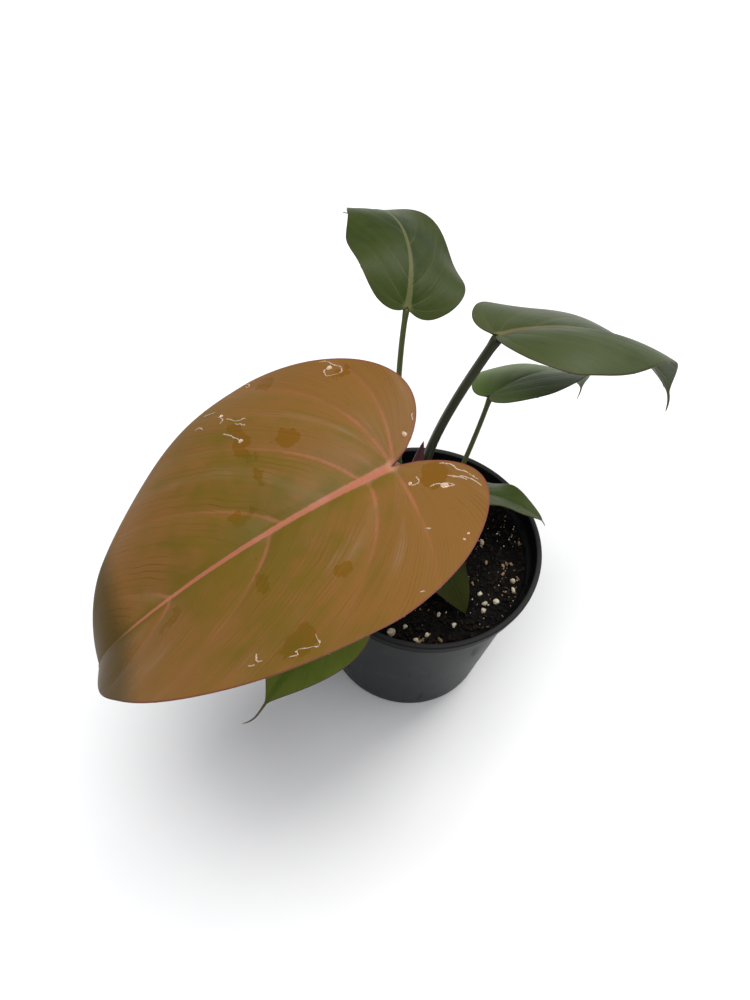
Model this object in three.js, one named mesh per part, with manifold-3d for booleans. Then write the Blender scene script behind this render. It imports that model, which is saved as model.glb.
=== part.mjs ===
// Potted philodendron: a young plant with seven leaves in a round plastic nursery pot.
// Millimetres, +Z up. The origin is the centre of the pot's flat base.
//
// The pot and the potting mix are turned about Z. The stem is a tapered bar bent onto a curve.
// Each leaf has a stalk that starts beside the stem, and a blade that is laid out flat along its
// own veins and then bent: along its midrib, across its two halves, and in a wave at its margin.
import * as THREE from 'three';
import { mergeVertices } from 'three/addons/utils/BufferGeometryUtils.js';
import Module from 'manifold-3d';

const wasm = await Module();
wasm.setup();

// ---------------------------------------------------------------- driving dimensions
const CLEAR = 0.3;             // gap between two pieces that touch

const POT_HEIGHT = 95;
const RIM_RADIUS = 54;         // outside of the lip
const BASE_RADIUS = 40;        // outside of the body at the base
const BASE_EDGE = 2;           // rounding between base and body
const WALL = 1.2;
const BASE_THICKNESS = 1.6;
const LIP_HEIGHT = 2.4;
const LIP_EDGE = 0.6;          // rounding of the lip
const LIP_OVERHANG = 1.2;      // lip beyond the band under it
const BAND_HEIGHT = 5.6;       // stacking band under the lip
const BAND_OVERHANG = 2.6;     // band beyond the body
const DRAIN_HOLES = 6;
const DRAIN_RADIUS = 3.5;
const DRAIN_RING = 27;         // radius of the ring of drain holes
const POT_SIDES = 48;

const MIX_BELOW_RIM = 11;      // depth of the watering space
const MIX_CROWN = 1;           // how much higher the mix stands at the stem

const STEM_HEIGHT = 36;        // above the potting mix
const STEM_DEPTH = 35;         // below it
const STEM_FOOT = 5.4;         // radius below the mix
const STEM_TOP = 4;            // radius at the top
const STEM_LEAN = [-9, 12];    // how far the top stands from the foot
const STEM_SIDES = 12;

const SHEATH_LENGTH = 24;      // pointed sheath of the next leaf
const SHEATH_RADIUS = 2;
const SHEATH_TIP = 0.15;       // radius at its tip, as a share of the radius at its foot
const SHEATH_BOW = [-1, 2];    // where its middle is drawn to, from above its foot
const SHEATH_LEAN = [1, 7];    // how far its tip stands from its foot
const STALK_SIDES = 8;
const FLARE_LENGTH = 0.4;      // share of a stalk over which its foot narrows
const FLARE_POWER = 0.7;
const CURVE_FRAMES = 96;       // frames along a stem or stalk

const BLADE_RIB = 1.6;         // blade thickness at the stalk
const BLADE_EDGE = 0.6;        // and at its margin
const RIB_SHARE = 0.35;        // part of a half's width over which the rib thins out
const DRIP_WIDTH = 0.05;       // width of the drip tip, as a share of the half width

// Leaves, lowest on the stem first. Lengths are in millimetres and turns in degrees.
// at         joint of stalk and blade, from the middle of the potting mix's surface
// size       joint to tip, and the widest place of one half
// aim        heading, pitch and roll of the blade at the joint
// bend       along the midrib: droop down, swing sideways, twist; then hook down and sideways at the tip
// lobeBend   bend of the basal lobes behind the joint
// fold       rise of the left and the right half at the midrib; recurve, how far each bends back
// wave       height of the margin's wave, and its start on the left and the right half
// outline    lobe length, width of the notch between the lobes, place of the widest point, taper to
//            the tip, drip tip length, squareness of the sides; halves, width of the left and the
//            right half, and lobes, the length of their lobes, as shares; grid, columns and rows
// stalk      height on the stem (0 to 1), side of the stem, foot and tip radius, and the handles
//            with which its curve leaves the stem and arrives at the blade
const LEAVES = [
  {
    name: 'soil', color: 0x30340f,
    at: [2, -9, 21], size: [37, 12], aim: [-48, -13, -3], bend: [-38, 0, 0, -26, 0], lobeBend: 18,
    fold: [7, 8], recurve: [17, 15], wave: [2, 0, 90],
    outline: [0.09, 0.63, 0.18, 0.95, 0.09, 0.9], halves: [1, 1], lobes: [1, 1], grid: [5, 14],
    stalk: { node: 0.1, side: -80, foot: 1.2, tip: 0.9, leave: [1, -5, 5], arrive: [1, -2, 4] },
  },
  {
    name: 'low', color: 0x415020,
    at: [-41, -57, 45], size: [64, 22], aim: [-115, -47, -12], bend: [7, -14, 0, 21, -38], lobeBend: 18,
    fold: [7, 5], recurve: [17, 18], wave: [1.6, 5, 73],
    outline: [0.17, 0.66, 0.07, 1.2, 0.24, 0.89], halves: [1.06, 0.98], lobes: [1, 1], grid: [5, 18],
    stalk: { node: 0.2, side: -125, foot: 2, tip: 1.2, leave: [-12, -18, 24], arrive: [-16, -20, 12] },
  },
  {
    name: 'rim', color: 0x404c29,
    at: [15, 16, 32], size: [40, 14], aim: [-11, 23, -24], bend: [-47, -14, 8, -24, -15], lobeBend: 17,
    fold: [1, 20], recurve: [9, 15], wave: [1.6, 164, 181],
    outline: [0.07, 0.62, 0.18, 0.9, 0.09, 0.92], halves: [1.03, 1.03], lobes: [1, 1], grid: [5, 14],
    stalk: { node: 0.36, side: -25, foot: 1.4, tip: 1, leave: [4, -1, 5], arrive: [5, 2, 4] },
  },
  {
    name: 'middle', color: 0x4d593c,
    at: [18, 41.5, 69.5], size: [86, 24], aim: [43, 9, -23], bend: [-81, -6, -2, -36, 21], lobeBend: 39,
    fold: [0, 12], recurve: [19, 13], wave: [-0.7, -71, -58],
    outline: [0.04, 0.58, 0.2, 1.33, 0.12, 0.93], halves: [1.01, 0.94], lobes: [1, 1], grid: [5, 18],
    stalk: { node: 0.08, side: 50, foot: 1.9, tip: 1.1, leave: [3, 8, 13], arrive: [3, 8, 26] },
  },
  {
    name: 'tall', color: 0x4a5430,
    at: [-22.5, 61.5, 95.5], size: [100, 29], aim: [87, 29, 28], bend: [-89, 57, -10, 42, 12], lobeBend: 17,
    fold: [-1, -2], recurve: [25, 1], wave: [5, 62, 71],
    outline: [0.04, 0.67, 0.24, 0.71, 0.08, 0.93], halves: [0.92, 1.01], lobes: [1, 1], grid: [5, 20],
    stalk: { node: 0.6, side: 140, foot: 2.2, tip: 1.3, leave: [-12, 8, 13], arrive: [1, 11, 23] },
  },
  {
    name: 'right', color: 0x505b3a,
    at: [14.5, 37.5, 111], size: [130, 36], aim: [27, 2, -20], bend: [-74, -17, -14, -13, 0], lobeBend: 19,
    fold: [4, 24], recurve: [16, 56], wave: [-2.5, -42, -116],
    outline: [0.04, 0.62, 0.13, 1.34, 0.13, 0.88], halves: [1.02, 1.13], lobes: [1, 1], grid: [6, 22],
    stalk: { node: 0.8, side: 76, foot: 3, tip: 2.1, leave: [-5, 6.5, 22], arrive: [11, 9, 25] },
  },
  {
    name: 'front', color: 0x8a6838,
    at: [-21, -33, 110.5], size: [141, 62], aim: [-144, -4.7, -4.7], bend: [-46, -8, 12.5, -23, -3],
    lobeBend: 47, fold: [9, 14], recurve: [-14, 41], wave: [1.5, 5, 192],
    outline: [0.18, 0.557, 0.218, 0.58, 0.02, 0.77], halves: [0.98, 1.16], lobes: [1, 0.91],
    grid: [7, 26],
    stalk: { node: 0.86, side: -95, foot: 3.2, tip: 2.4, leave: [0, -8, 18], arrive: [-5, -20, 28] },
  },
];
const WAVE_COUNT = 1.5;        // waves along a blade
const TIP_START = 0.85;        // where the hook at the tip begins, as a share of the length
const LOBE_VEINS = 0.5;        // share of the margin whose veins start at the joint itself
const VEIN_CROWDING = 1.5;     // how much closer the side veins stand near the joint
const VEIN_ARCH = 0.24;        // how far the side veins bow backwards
const NOTCH_BLEND = 0.14;      // share of the margin over which the rays take the notch's shape

// Perlite granules on the mix: bearing in degrees, share of the mix's radius, and size.
const GRANULES = [
  [-104, 0.92, 4.2], [-89, 0.94, 2.4], [-83, 0.88, 2.4], [-65, 0.82, 2.2], [-42, 0.82, 2.6],
  [-97, 0.82, 2.2], [-100, 0.7, 2.2], [-73, 0.68, 2.2], [-12, 0.9, 2.6], [-17, 0.93, 2.4],
  [-33, 0.68, 2.4], [-30, 0.85, 2.6], [-37, 0.78, 2.2], [20, 0.6, 2.6], [64, 0.84, 3],
  [100, 0.7, 2.4], [150, 0.78, 3.2], [-160, 0.62, 2.6], [-135, 0.78, 2.8],
];

// ---------------------------------------------------------------- what follows from them
const LIP_BOTTOM = POT_HEIGHT - LIP_HEIGHT;
const BAND_BOTTOM = LIP_BOTTOM - BAND_HEIGHT;
const BAND_RADIUS = RIM_RADIUS - LIP_OVERHANG;
const BODY_TOP_RADIUS = BAND_RADIUS - BAND_OVERHANG;
const MIX_TOP = POT_HEIGHT - MIX_BELOW_RIM;

const radians = THREE.MathUtils.degToRad;
const smooth = (t) => THREE.MathUtils.smoothstep(t, 0, 1);
const vector = (x, y, z) => new THREE.Vector3(x, y, z);

// Outside radius of the pot's body at a height, and the inside radius that the mix fills.
function bodyRadius(z) {
  return THREE.MathUtils.lerp(BASE_RADIUS, BODY_TOP_RADIUS, z / BAND_BOTTOM);
}
const insideRadius = (z) => bodyRadius(z) - WALL;

const plant = new THREE.Group();

function add(name, geometry, color, roughness) {
  const flat = geometry.index ? geometry.toNonIndexed() : geometry;
  flat.computeVertexNormals();
  const mesh = new THREE.Mesh(flat, new THREE.MeshStandardMaterial({ color, roughness, metalness: 0 }));
  mesh.name = name;
  plant.add(mesh);
}

// ---------------------------------------------------------------- solids
// A profile of [radius, height] pairs, from the axis round to the axis, turned about Z.
function turned(profile, sides) {
  const points = profile.map(([r, z]) => new THREE.Vector2(r, z));
  return new THREE.LatheGeometry(points, sides).rotateX(Math.PI / 2);
}

// Points of a quarter circle about (x, y) from one angle to another, in degrees.
function arc(x, y, radius, from, to, steps) {
  const points = [];
  for (let i = 0; i <= steps; i++) {
    const angle = radians(THREE.MathUtils.lerp(from, to, i / steps));
    points.push([x + radius * Math.cos(angle), y + radius * Math.sin(angle)]);
  }
  return points;
}

function toSolid(geometry) {
  const bare = geometry.clone();
  bare.deleteAttribute('normal');
  bare.deleteAttribute('uv');
  const merged = mergeVertices(bare, 1e-4);
  return new wasm.Manifold(new wasm.Mesh({
    numProp: 3,
    vertProperties: new Float32Array(merged.attributes.position.array),
    triVerts: new Uint32Array(merged.index.array),
  }));
}

function fromSolid(solid) {
  const mesh = solid.getMesh();
  const geometry = new THREE.BufferGeometry();
  geometry.setAttribute('position', new THREE.BufferAttribute(mesh.vertProperties, 3));
  geometry.setIndex(new THREE.BufferAttribute(mesh.triVerts, 1));
  return geometry;
}

// A round bar turned as a lathe profile and then bent onto a curve. radiusAt takes 0 at the
// curve's start and 1 at its end; both ends are rounded off within the bar's length.
function barOnCurve(curve, radiusAt, rings, sides) {
  const length = curve.getLength();
  const foot = radiusAt(0);
  const head = radiusAt(1);
  const profile = arc(0, foot, foot, -90, -30, 2);
  profile[0][0] = 0;
  for (let i = 0; i <= rings; i++) {
    const z = THREE.MathUtils.lerp(foot, length - head, i / rings);
    profile.push([radiusAt(z / length), z]);
  }
  profile.push(...arc(0, length - head, head, 30, 90, 2));
  profile.at(-1)[0] = 0;
  const bar = turned(profile, sides);

  const frames = curve.computeFrenetFrames(CURVE_FRAMES, false);
  const position = bar.attributes.position;
  for (let i = 0; i < position.count; i++) {
    const share = THREE.MathUtils.clamp(position.getZ(i) / length, 0, 1);
    const k = Math.round(share * CURVE_FRAMES);
    const point = curve.getPointAt(share)
      .addScaledVector(frames.normals[k], position.getX(i))
      .addScaledVector(frames.binormals[k], position.getY(i));
    position.setXYZ(i, point.x, point.y, point.z);
  }
  return bar;
}

// ---------------------------------------------------------------- pot
function potProfile() {
  const outside = [
    [0, 0],
    ...arc(BASE_RADIUS - BASE_EDGE, BASE_EDGE, BASE_EDGE, -90, 0, 3),
    [BODY_TOP_RADIUS, BAND_BOTTOM],
    [BAND_RADIUS, BAND_BOTTOM],
    [BAND_RADIUS, LIP_BOTTOM],
  ];
  const lip = [
    ...arc(RIM_RADIUS - LIP_EDGE, LIP_BOTTOM + LIP_EDGE, LIP_EDGE, -90, 0, 2),
    ...arc(RIM_RADIUS - LIP_EDGE, POT_HEIGHT - LIP_EDGE, LIP_EDGE, 0, 90, 2),
  ];
  const inside = [
    [BAND_RADIUS - WALL, POT_HEIGHT],
    [insideRadius(BAND_BOTTOM) + BAND_OVERHANG / 2, BAND_BOTTOM + WALL],
    [insideRadius(BAND_BOTTOM), BAND_BOTTOM],
    [insideRadius(BASE_THICKNESS), BASE_THICKNESS],
    [0, BASE_THICKNESS],
  ];
  return [...outside, ...lip, ...inside];
}

function pot() {
  let body = toSolid(turned(potProfile(), POT_SIDES));
  for (let i = 0; i < DRAIN_HOLES; i++) {
    const angle = 2 * Math.PI * i / DRAIN_HOLES;
    const drill = new THREE.CylinderGeometry(DRAIN_RADIUS, DRAIN_RADIUS, 4 * BASE_THICKNESS, 16)
      .rotateX(Math.PI / 2)
      .translate(DRAIN_RING * Math.cos(angle), DRAIN_RING * Math.sin(angle), 0);
    body = body.subtract(toSolid(drill));
  }
  return fromSolid(body);
}
add('pot', pot(), 0x3a3c3b, 0.5);

// ---------------------------------------------------------------- stem
const mixHeight = (share) => MIX_TOP + MIX_CROWN * (1 - share * share);

function stemCurve(extraDepth) {
  const [leanX, leanY] = STEM_LEAN;
  const foot = MIX_TOP - STEM_DEPTH;
  return new THREE.CatmullRomCurve3([
    vector(0, 0, foot - extraDepth),
    vector(0, 0, foot + STEM_DEPTH / 2),
    vector(leanX * 0.08, leanY * 0.08, MIX_TOP),
    vector(leanX * 0.45, leanY * 0.42, MIX_TOP + STEM_HEIGHT / 2),
    vector(leanX, leanY, MIX_TOP + STEM_HEIGHT),
  ]);
}
const stem = stemCurve(0);
const stemRadius = (share) => THREE.MathUtils.lerp(STEM_FOOT, STEM_TOP, share);
add('stem', barOnCurve(stem, stemRadius, 12, STEM_SIDES), 0x4b5030, 0.6);

// Share of the stem's length at a height above the mix, given as 0 at the mix and 1 at the top.
function stemShare(node) {
  const buried = STEM_DEPTH / stem.getLength();
  return THREE.MathUtils.lerp(buried, 1 - STEM_TOP / stem.getLength(), node);
}

// ---------------------------------------------------------------- potting mix
function pottingMix() {
  const bottom = BASE_THICKNESS + CLEAR;
  const profile = [[0, bottom], [insideRadius(bottom) - CLEAR, bottom]];
  profile.push([insideRadius(MIX_TOP) - CLEAR, MIX_TOP]);
  for (const share of [0.8, 0.6, 0.4, 0.2]) {
    profile.push([share * (insideRadius(MIX_TOP) - CLEAR), mixHeight(share)]);
  }
  profile.push([0, mixHeight(0)]);
  const socketRadius = (share) => (stemRadius(share) + CLEAR) / Math.cos(Math.PI / STEM_SIDES);
  const socket = barOnCurve(stemCurve(CLEAR), socketRadius, 12, STEM_SIDES);
  return fromSolid(toSolid(turned(profile, POT_SIDES)).subtract(toSolid(socket)));
}
add('potting_mix', pottingMix(), 0x0c0a0c, 0.95);

// ---------------------------------------------------------------- perlite
function granule([bearing, share, size]) {
  const reach = share * (insideRadius(MIX_TOP) - CLEAR);
  const flatness = 0.75;
  return new THREE.DodecahedronGeometry(size / 2)
    .scale(1, 0.85, flatness)
    .rotateZ(radians(3 * bearing))
    .translate(
      reach * Math.cos(radians(bearing)),
      reach * Math.sin(radians(bearing)),
      mixHeight(share) + CLEAR + flatness * size / 2,
    );
}
GRANULES.forEach((place, i) => {
  add(`perlite_${String(i + 1).padStart(2, '0')}`, granule(place), 0xcfc6b4, 0.9);
});

// ---------------------------------------------------------------- leaf blades
// Direction of the midrib, its left side and its upper side at a share t of the length, which is
// negative on the basal lobes.
function midribFrame(leaf, t) {
  const [heading, pitch, roll] = leaf.aim;
  const [droop, swing, twist, hook, hookSwing] = leaf.bend;
  const ahead = Math.max(t, 0);
  const behind = Math.min(t, 0);
  const atTip = smooth((t - TIP_START) / (1 - TIP_START));
  const up = radians(pitch + droop * ahead + leaf.lobeBend * behind + hook * atTip);
  const turn = radians(heading + swing * t + hookSwing * atTip);
  const bank = radians(roll + twist * t);
  const along = vector(Math.cos(up) * Math.cos(turn), Math.cos(up) * Math.sin(turn), Math.sin(up));
  const left = vector(-Math.sin(turn), Math.cos(turn), 0);
  const top = along.clone().cross(left);
  return {
    along,
    left: left.clone().multiplyScalar(Math.cos(bank)).addScaledVector(top, Math.sin(bank)),
    top: top.multiplyScalar(Math.cos(bank)).addScaledVector(left, -Math.sin(bank)),
  };
}

// The midrib as a chain of frames, from well behind the joint to the tip.
function midrib(leaf) {
  const [length] = leaf.size;
  const behind = 60;
  const ahead = 120;
  const step = length / ahead;
  const stations = [];
  for (let i = -behind; i <= ahead; i++) {
    stations.push(midribFrame(leaf, i / ahead));
  }
  const joint = vector(...leaf.at).add(vector(0, 0, MIX_TOP));
  stations[behind].point = joint;
  for (let i = behind + 1; i < stations.length; i++) {
    const mean = stations[i].along.clone().add(stations[i - 1].along);
    stations[i].point = stations[i - 1].point.clone().addScaledVector(mean, step / 2);
  }
  for (let i = behind - 1; i >= 0; i--) {
    const mean = stations[i].along.clone().add(stations[i + 1].along);
    stations[i].point = stations[i + 1].point.clone().addScaledVector(mean, -step / 2);
  }
  return (x) => {
    const place = THREE.MathUtils.clamp(x / step + behind, 0, stations.length - 1);
    const i = Math.min(Math.floor(place), stations.length - 2);
    const mix = (key) => stations[i][key].clone().lerp(stations[i + 1][key], place - i);
    return { point: mix('point'), left: mix('left'), top: mix('top') };
  };
}

// One half of the outline, from the joint round the lobe to the tip: an ellipse with a sine bulge,
// the lobe, up to the widest place, and a power of a cosine ahead of it, as [x, y] with y outwards.
function halfOutline(leaf, half) {
  const [length, halfWidth] = leaf.size;
  const [lobe, notch, belly, taper, drip, square] = leaf.outline;
  const reach = lobe * leaf.lobes[half];
  const width = halfWidth * leaf.halves[half];
  const points = [];
  for (let i = 0; i <= 40; i++) {
    const angle = Math.PI / 2 * i / 40;
    const bulge = reach * Math.sin(Math.PI * Math.sin(angle) ** notch);
    points.push([belly * (1 - Math.cos(angle)) - bulge, Math.sin(angle) ** square]);
  }
  for (let i = 1; i <= 60; i++) {
    const t = i / 60;
    const body = Math.cos(Math.PI / 2 * Math.min(t / (1 - drip), 1)) ** taper;
    points.push([belly + (1 - belly) * t, (1 - DRIP_WIDTH) * body + DRIP_WIDTH * Math.sqrt(1 - t)]);
  }
  points[0] = [0, 0];
  points[100] = [1, 0];
  return points.map(([x, y]) => new THREE.Vector2(x * length, y * width));
}

// Points at the given shares of a polyline's length.
function along(points, count) {
  const lengths = [0];
  points.slice(1).forEach((p, i) => lengths.push(lengths[i] + p.distanceTo(points[i])));
  const total = lengths.at(-1);
  const spaced = [];
  let k = 0;
  for (let i = 0; i <= count; i++) {
    const goal = total * i / count;
    while (k < points.length - 2 && lengths[k + 1] < goal) k++;
    const share = (goal - lengths[k]) / (lengths[k + 1] - lengths[k]);
    spaced.push(points[k].clone().lerp(points[k + 1], Math.min(share, 1)));
  }
  return spaced;
}

// A half laid out flat: rows run out from the joint or the midrib to the margin, as the side veins
// do, and the first row is the edge of the notch.
function flatHalf(leaf, half) {
  const [length] = leaf.size;
  const [columns, rows] = leaf.grid;
  const outline = halfOutline(leaf, half);
  let back = 2;
  outline.forEach((p, i) => { if (p.x < outline[back].x) back = i; });
  const notch = along(outline.slice(0, back + 1), columns);
  const margin = along(outline.slice(back), rows);
  const ray = (start, end, u) => {
    const bow = VEIN_ARCH * end.distanceTo(start);
    const middle = start.clone().add(end).multiplyScalar(0.5).sub(new THREE.Vector2(bow, 0));
    return start.clone().multiplyScalar((1 - u) ** 2)
      .addScaledVector(middle, 2 * u * (1 - u)).addScaledVector(end, u * u);
  };
  const joint = new THREE.Vector2(0, 0);
  return margin.map((end, row) => {
    const v = row / rows;
    const share = Math.max((v - LOBE_VEINS) / (1 - LOBE_VEINS), 0) ** VEIN_CROWDING;
    const start = new THREE.Vector2(length * share, 0);
    const blend = Math.max(1 - v / NOTCH_BLEND, 0) ** 2;
    return notch.map((edge, column) => {
      const u = column / columns;
      const straight = ray(joint, margin[0], u);
      return ray(start, end, u).addScaledVector(edge.clone().sub(straight), blend);
    });
  });
}

// Upper and under side of a half, bent into place.
function bentHalf(leaf, half, ribAt) {
  const [length, halfWidth] = leaf.size;
  const side = half === 0 ? 1 : -1;
  const fold = radians(leaf.fold[half]);
  const recurve = radians(leaf.recurve[half]);
  const [waveHeight, ...phases] = leaf.wave;
  return flatHalf(leaf, half).map((row) => row.map(({ x, y }) => {
    const out = y / halfWidth;
    const { point, left, top } = ribAt(x);
    const across = halfWidth / recurve * (Math.sin(fold) - Math.sin(fold - recurve * out));
    const rise = halfWidth / recurve * (Math.cos(fold - recurve * out) - Math.cos(fold));
    const turns = WAVE_COUNT * x / length;
    const wave = waveHeight * out * out * Math.sin(2 * Math.PI * turns + radians(phases[half]));
    const upper = point.addScaledVector(left, side * across).addScaledVector(top, rise + wave);
    const rib = THREE.MathUtils.lerp(BLADE_RIB, BLADE_EDGE, Math.max(x / length, 0));
    const thin = Math.max(1 - out / RIB_SHARE, 0) ** 2;
    const under = upper.clone().addScaledVector(top, -BLADE_EDGE - (rib - BLADE_EDGE) * thin);
    return { upper, under };
  }));
}

function blade(leaf) {
  const ribAt = midrib(leaf);
  const corners = [];
  const triangle = (a, b, c) => {
    const tiny = 1e-9;
    if (Math.min(a.distanceTo(b), b.distanceTo(c), c.distanceTo(a)) > tiny) corners.push(a, b, c);
  };
  [0, 1].forEach((half) => {
    const grid = bentHalf(leaf, half, ribAt);
    const quad = (a, b, c, d) => {
      const [p, q, r, s] = half === 0 ? [a, b, c, d] : [d, c, b, a];
      triangle(p, q, r);
      triangle(p, r, s);
    };
    const rows = grid.length - 1;
    const columns = grid[0].length - 1;
    for (let v = 0; v < rows; v++) {
      for (let u = 0; u < columns; u++) {
        const [a, b, c, d] = [grid[v][u], grid[v + 1][u], grid[v + 1][u + 1], grid[v][u + 1]];
        quad(a.upper, b.upper, c.upper, d.upper);
        quad(d.under, c.under, b.under, a.under);
      }
      const [edge, next] = [grid[v][columns], grid[v + 1][columns]];
      quad(edge.upper, next.upper, next.under, edge.under);
    }
    for (let u = 0; u < columns; u++) {
      const [edge, next] = [grid[0][u], grid[0][u + 1]];
      quad(edge.upper, next.upper, next.under, edge.under);
    }
  });
  return new THREE.BufferGeometry().setFromPoints(corners);
}

// ---------------------------------------------------------------- leaf stalks
// A stalk stands clear of the stem at its foot and stops clear of the rib under the blade.
function stalkCurve(leaf) {
  const { node, side, foot, tip, leave, arrive } = leaf.stalk;
  const share = stemShare(node);
  const bearing = radians(side);
  const outwards = vector(Math.cos(bearing), Math.sin(bearing), 0);
  const start = stem.getPointAt(share)
    .addScaledVector(outwards, stemRadius(share) / Math.cos(Math.PI / STEM_SIDES) + CLEAR + foot);
  const { point, top } = midrib(leaf)(0);
  const end = point.addScaledVector(top, -(BLADE_RIB + CLEAR + tip));
  return new THREE.CubicBezierCurve3(
    start, start.clone().add(vector(...leave)), end.clone().sub(vector(...arrive)), end,
  );
}

for (const leaf of LEAVES) {
  const { foot, tip } = leaf.stalk;
  const narrowing = (share) => Math.min(share / FLARE_LENGTH, 1) ** FLARE_POWER;
  const radiusAt = (share) => THREE.MathUtils.lerp(foot, tip, narrowing(share));
  add(`stalk_${leaf.name}`, barOnCurve(stalkCurve(leaf), radiusAt, 14, STALK_SIDES), 0x373827, 0.55);
  add(`blade_${leaf.name}`, blade(leaf), leaf.color, 0.45);
}

// ---------------------------------------------------------------- sheath of the next leaf
function sheath() {
  const foot = stem.getPointAt(1).add(vector(0, 0, CLEAR + SHEATH_RADIUS / 5));
  const curve = new THREE.QuadraticBezierCurve3(
    foot,
    foot.clone().add(vector(...SHEATH_BOW, SHEATH_LENGTH / 2)),
    foot.clone().add(vector(...SHEATH_LEAN, SHEATH_LENGTH)),
  );
  const radiusAt = (t) => SHEATH_RADIUS * Math.max(1 - t * t, SHEATH_TIP);
  return barOnCurve(curve, radiusAt, 10, STALK_SIDES);
}
add('sheath', sheath(), 0x2b1517, 0.5);

export default plant;
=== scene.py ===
"""A potted philodendron: seven leaves on one stem, in a round nursery pot of black plastic.

Lengths are worked out in millimetres and put into the meshes in metres. +Z is up and the origin
is the centre of the pot's base.
"""

import bmesh
import bpy
import numpy as np
from mathutils import Matrix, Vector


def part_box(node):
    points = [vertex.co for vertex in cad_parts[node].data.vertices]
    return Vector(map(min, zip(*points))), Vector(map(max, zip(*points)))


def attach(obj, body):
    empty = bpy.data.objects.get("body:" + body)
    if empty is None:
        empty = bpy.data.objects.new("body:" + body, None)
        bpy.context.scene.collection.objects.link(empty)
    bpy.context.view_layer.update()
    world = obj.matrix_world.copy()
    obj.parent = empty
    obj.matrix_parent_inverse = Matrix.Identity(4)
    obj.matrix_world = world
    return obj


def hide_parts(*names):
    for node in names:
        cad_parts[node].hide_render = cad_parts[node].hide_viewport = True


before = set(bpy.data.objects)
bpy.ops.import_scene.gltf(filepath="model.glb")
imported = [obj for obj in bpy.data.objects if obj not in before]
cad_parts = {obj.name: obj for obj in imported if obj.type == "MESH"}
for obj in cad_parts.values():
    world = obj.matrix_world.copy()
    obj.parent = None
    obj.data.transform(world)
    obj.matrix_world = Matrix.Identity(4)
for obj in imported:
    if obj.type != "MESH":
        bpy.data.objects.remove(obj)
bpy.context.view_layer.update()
MM = 0.001

# ---------------------------------------------------------------- camera, floor and light
# The plant stands on a plain pale floor, under a soft ceiling light and a window at the back right.
# The camera looks down on it from above the big leaf, a little tilted to one side.
camera_pitch = np.radians(55.82)
camera_roll = np.radians(7.55)
level = np.array([1.0, 0, 0])
ahead = np.array([0, np.cos(camera_pitch), -np.sin(camera_pitch)])
above = np.array([0, np.sin(camera_pitch), np.cos(camera_pitch)])
camera_axes = np.stack([
    np.cos(camera_roll) * level + np.sin(camera_roll) * above,
    np.cos(camera_roll) * above - np.sin(camera_roll) * level,
    -ahead,
], axis=1)
camera_data = bpy.data.cameras.new("camera")
camera_data.lens = 36
camera_data.sensor_width = 36
camera_data.clip_start = 0.01
camera = bpy.data.objects.new("camera", camera_data)
bpy.context.scene.collection.objects.link(camera)
camera_place = (-0.0255, -0.2448, 0.4832)
camera.matrix_world = Matrix.Translation(camera_place) @ Matrix(camera_axes.tolist()).to_4x4()
bpy.context.scene.camera = camera


def softbox(name, place, target, size, power, tone):
    """A square area light of the given side at a place, turned to face the target."""
    data = bpy.data.lights.new(name, "AREA")
    data.size = size
    data.energy = power
    data.color = tone
    lamp = bpy.data.objects.new(name, data)
    away = Matrix.Translation(place).to_translation() - Matrix.Translation(target).to_translation()
    lamp.matrix_world = Matrix.Translation(place) @ away.to_track_quat("Z", "Y").to_matrix().to_4x4()
    bpy.context.scene.collection.objects.link(lamp)


middle_of_plant = (0, 0, 0.1)
softbox("window", (0.75, 0.95, 1.15), middle_of_plant, 0.8, 14, (1, 0.985, 0.96))
softbox("ceiling", (-0.15, -0.15, 1.6), middle_of_plant, 1.1, 21, (1, 1, 1))
world = bpy.data.worlds.new("studio")
world.use_nodes = True
world.node_tree.nodes["Background"].inputs["Color"].default_value = (0.93, 0.95, 1, 1)
world.node_tree.nodes["Background"].inputs["Strength"].default_value = 0.42
bpy.context.scene.world = world
bpy.context.scene.view_settings.view_transform = "Standard"


def new_material(name):
    """A material with its node tree, its Principled shader and its output still bare."""
    made = bpy.data.materials.new(name)
    made.use_nodes = True
    return made, made.node_tree, made.node_tree.nodes["Principled BSDF"]


def set_inputs(tree, shader, values):
    """Sets or links inputs of a shader by name."""
    for key, value in values.items():
        if isinstance(value, bpy.types.NodeSocket):
            tree.links.new(value, shader.inputs[key])
        else:
            shader.inputs[key].default_value = value


def grid_faces(rows, columns, flip=False):
    """Quads between neighbours of a grid of points that are numbered row by row."""
    a = np.arange((rows - 1) * columns).reshape(rows - 1, columns)[:, :-1].ravel()
    quads = np.stack([a, a + 1, a + 1 + columns, a + columns], axis=-1)
    return quads[:, ::-1] if flip else quads


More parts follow.
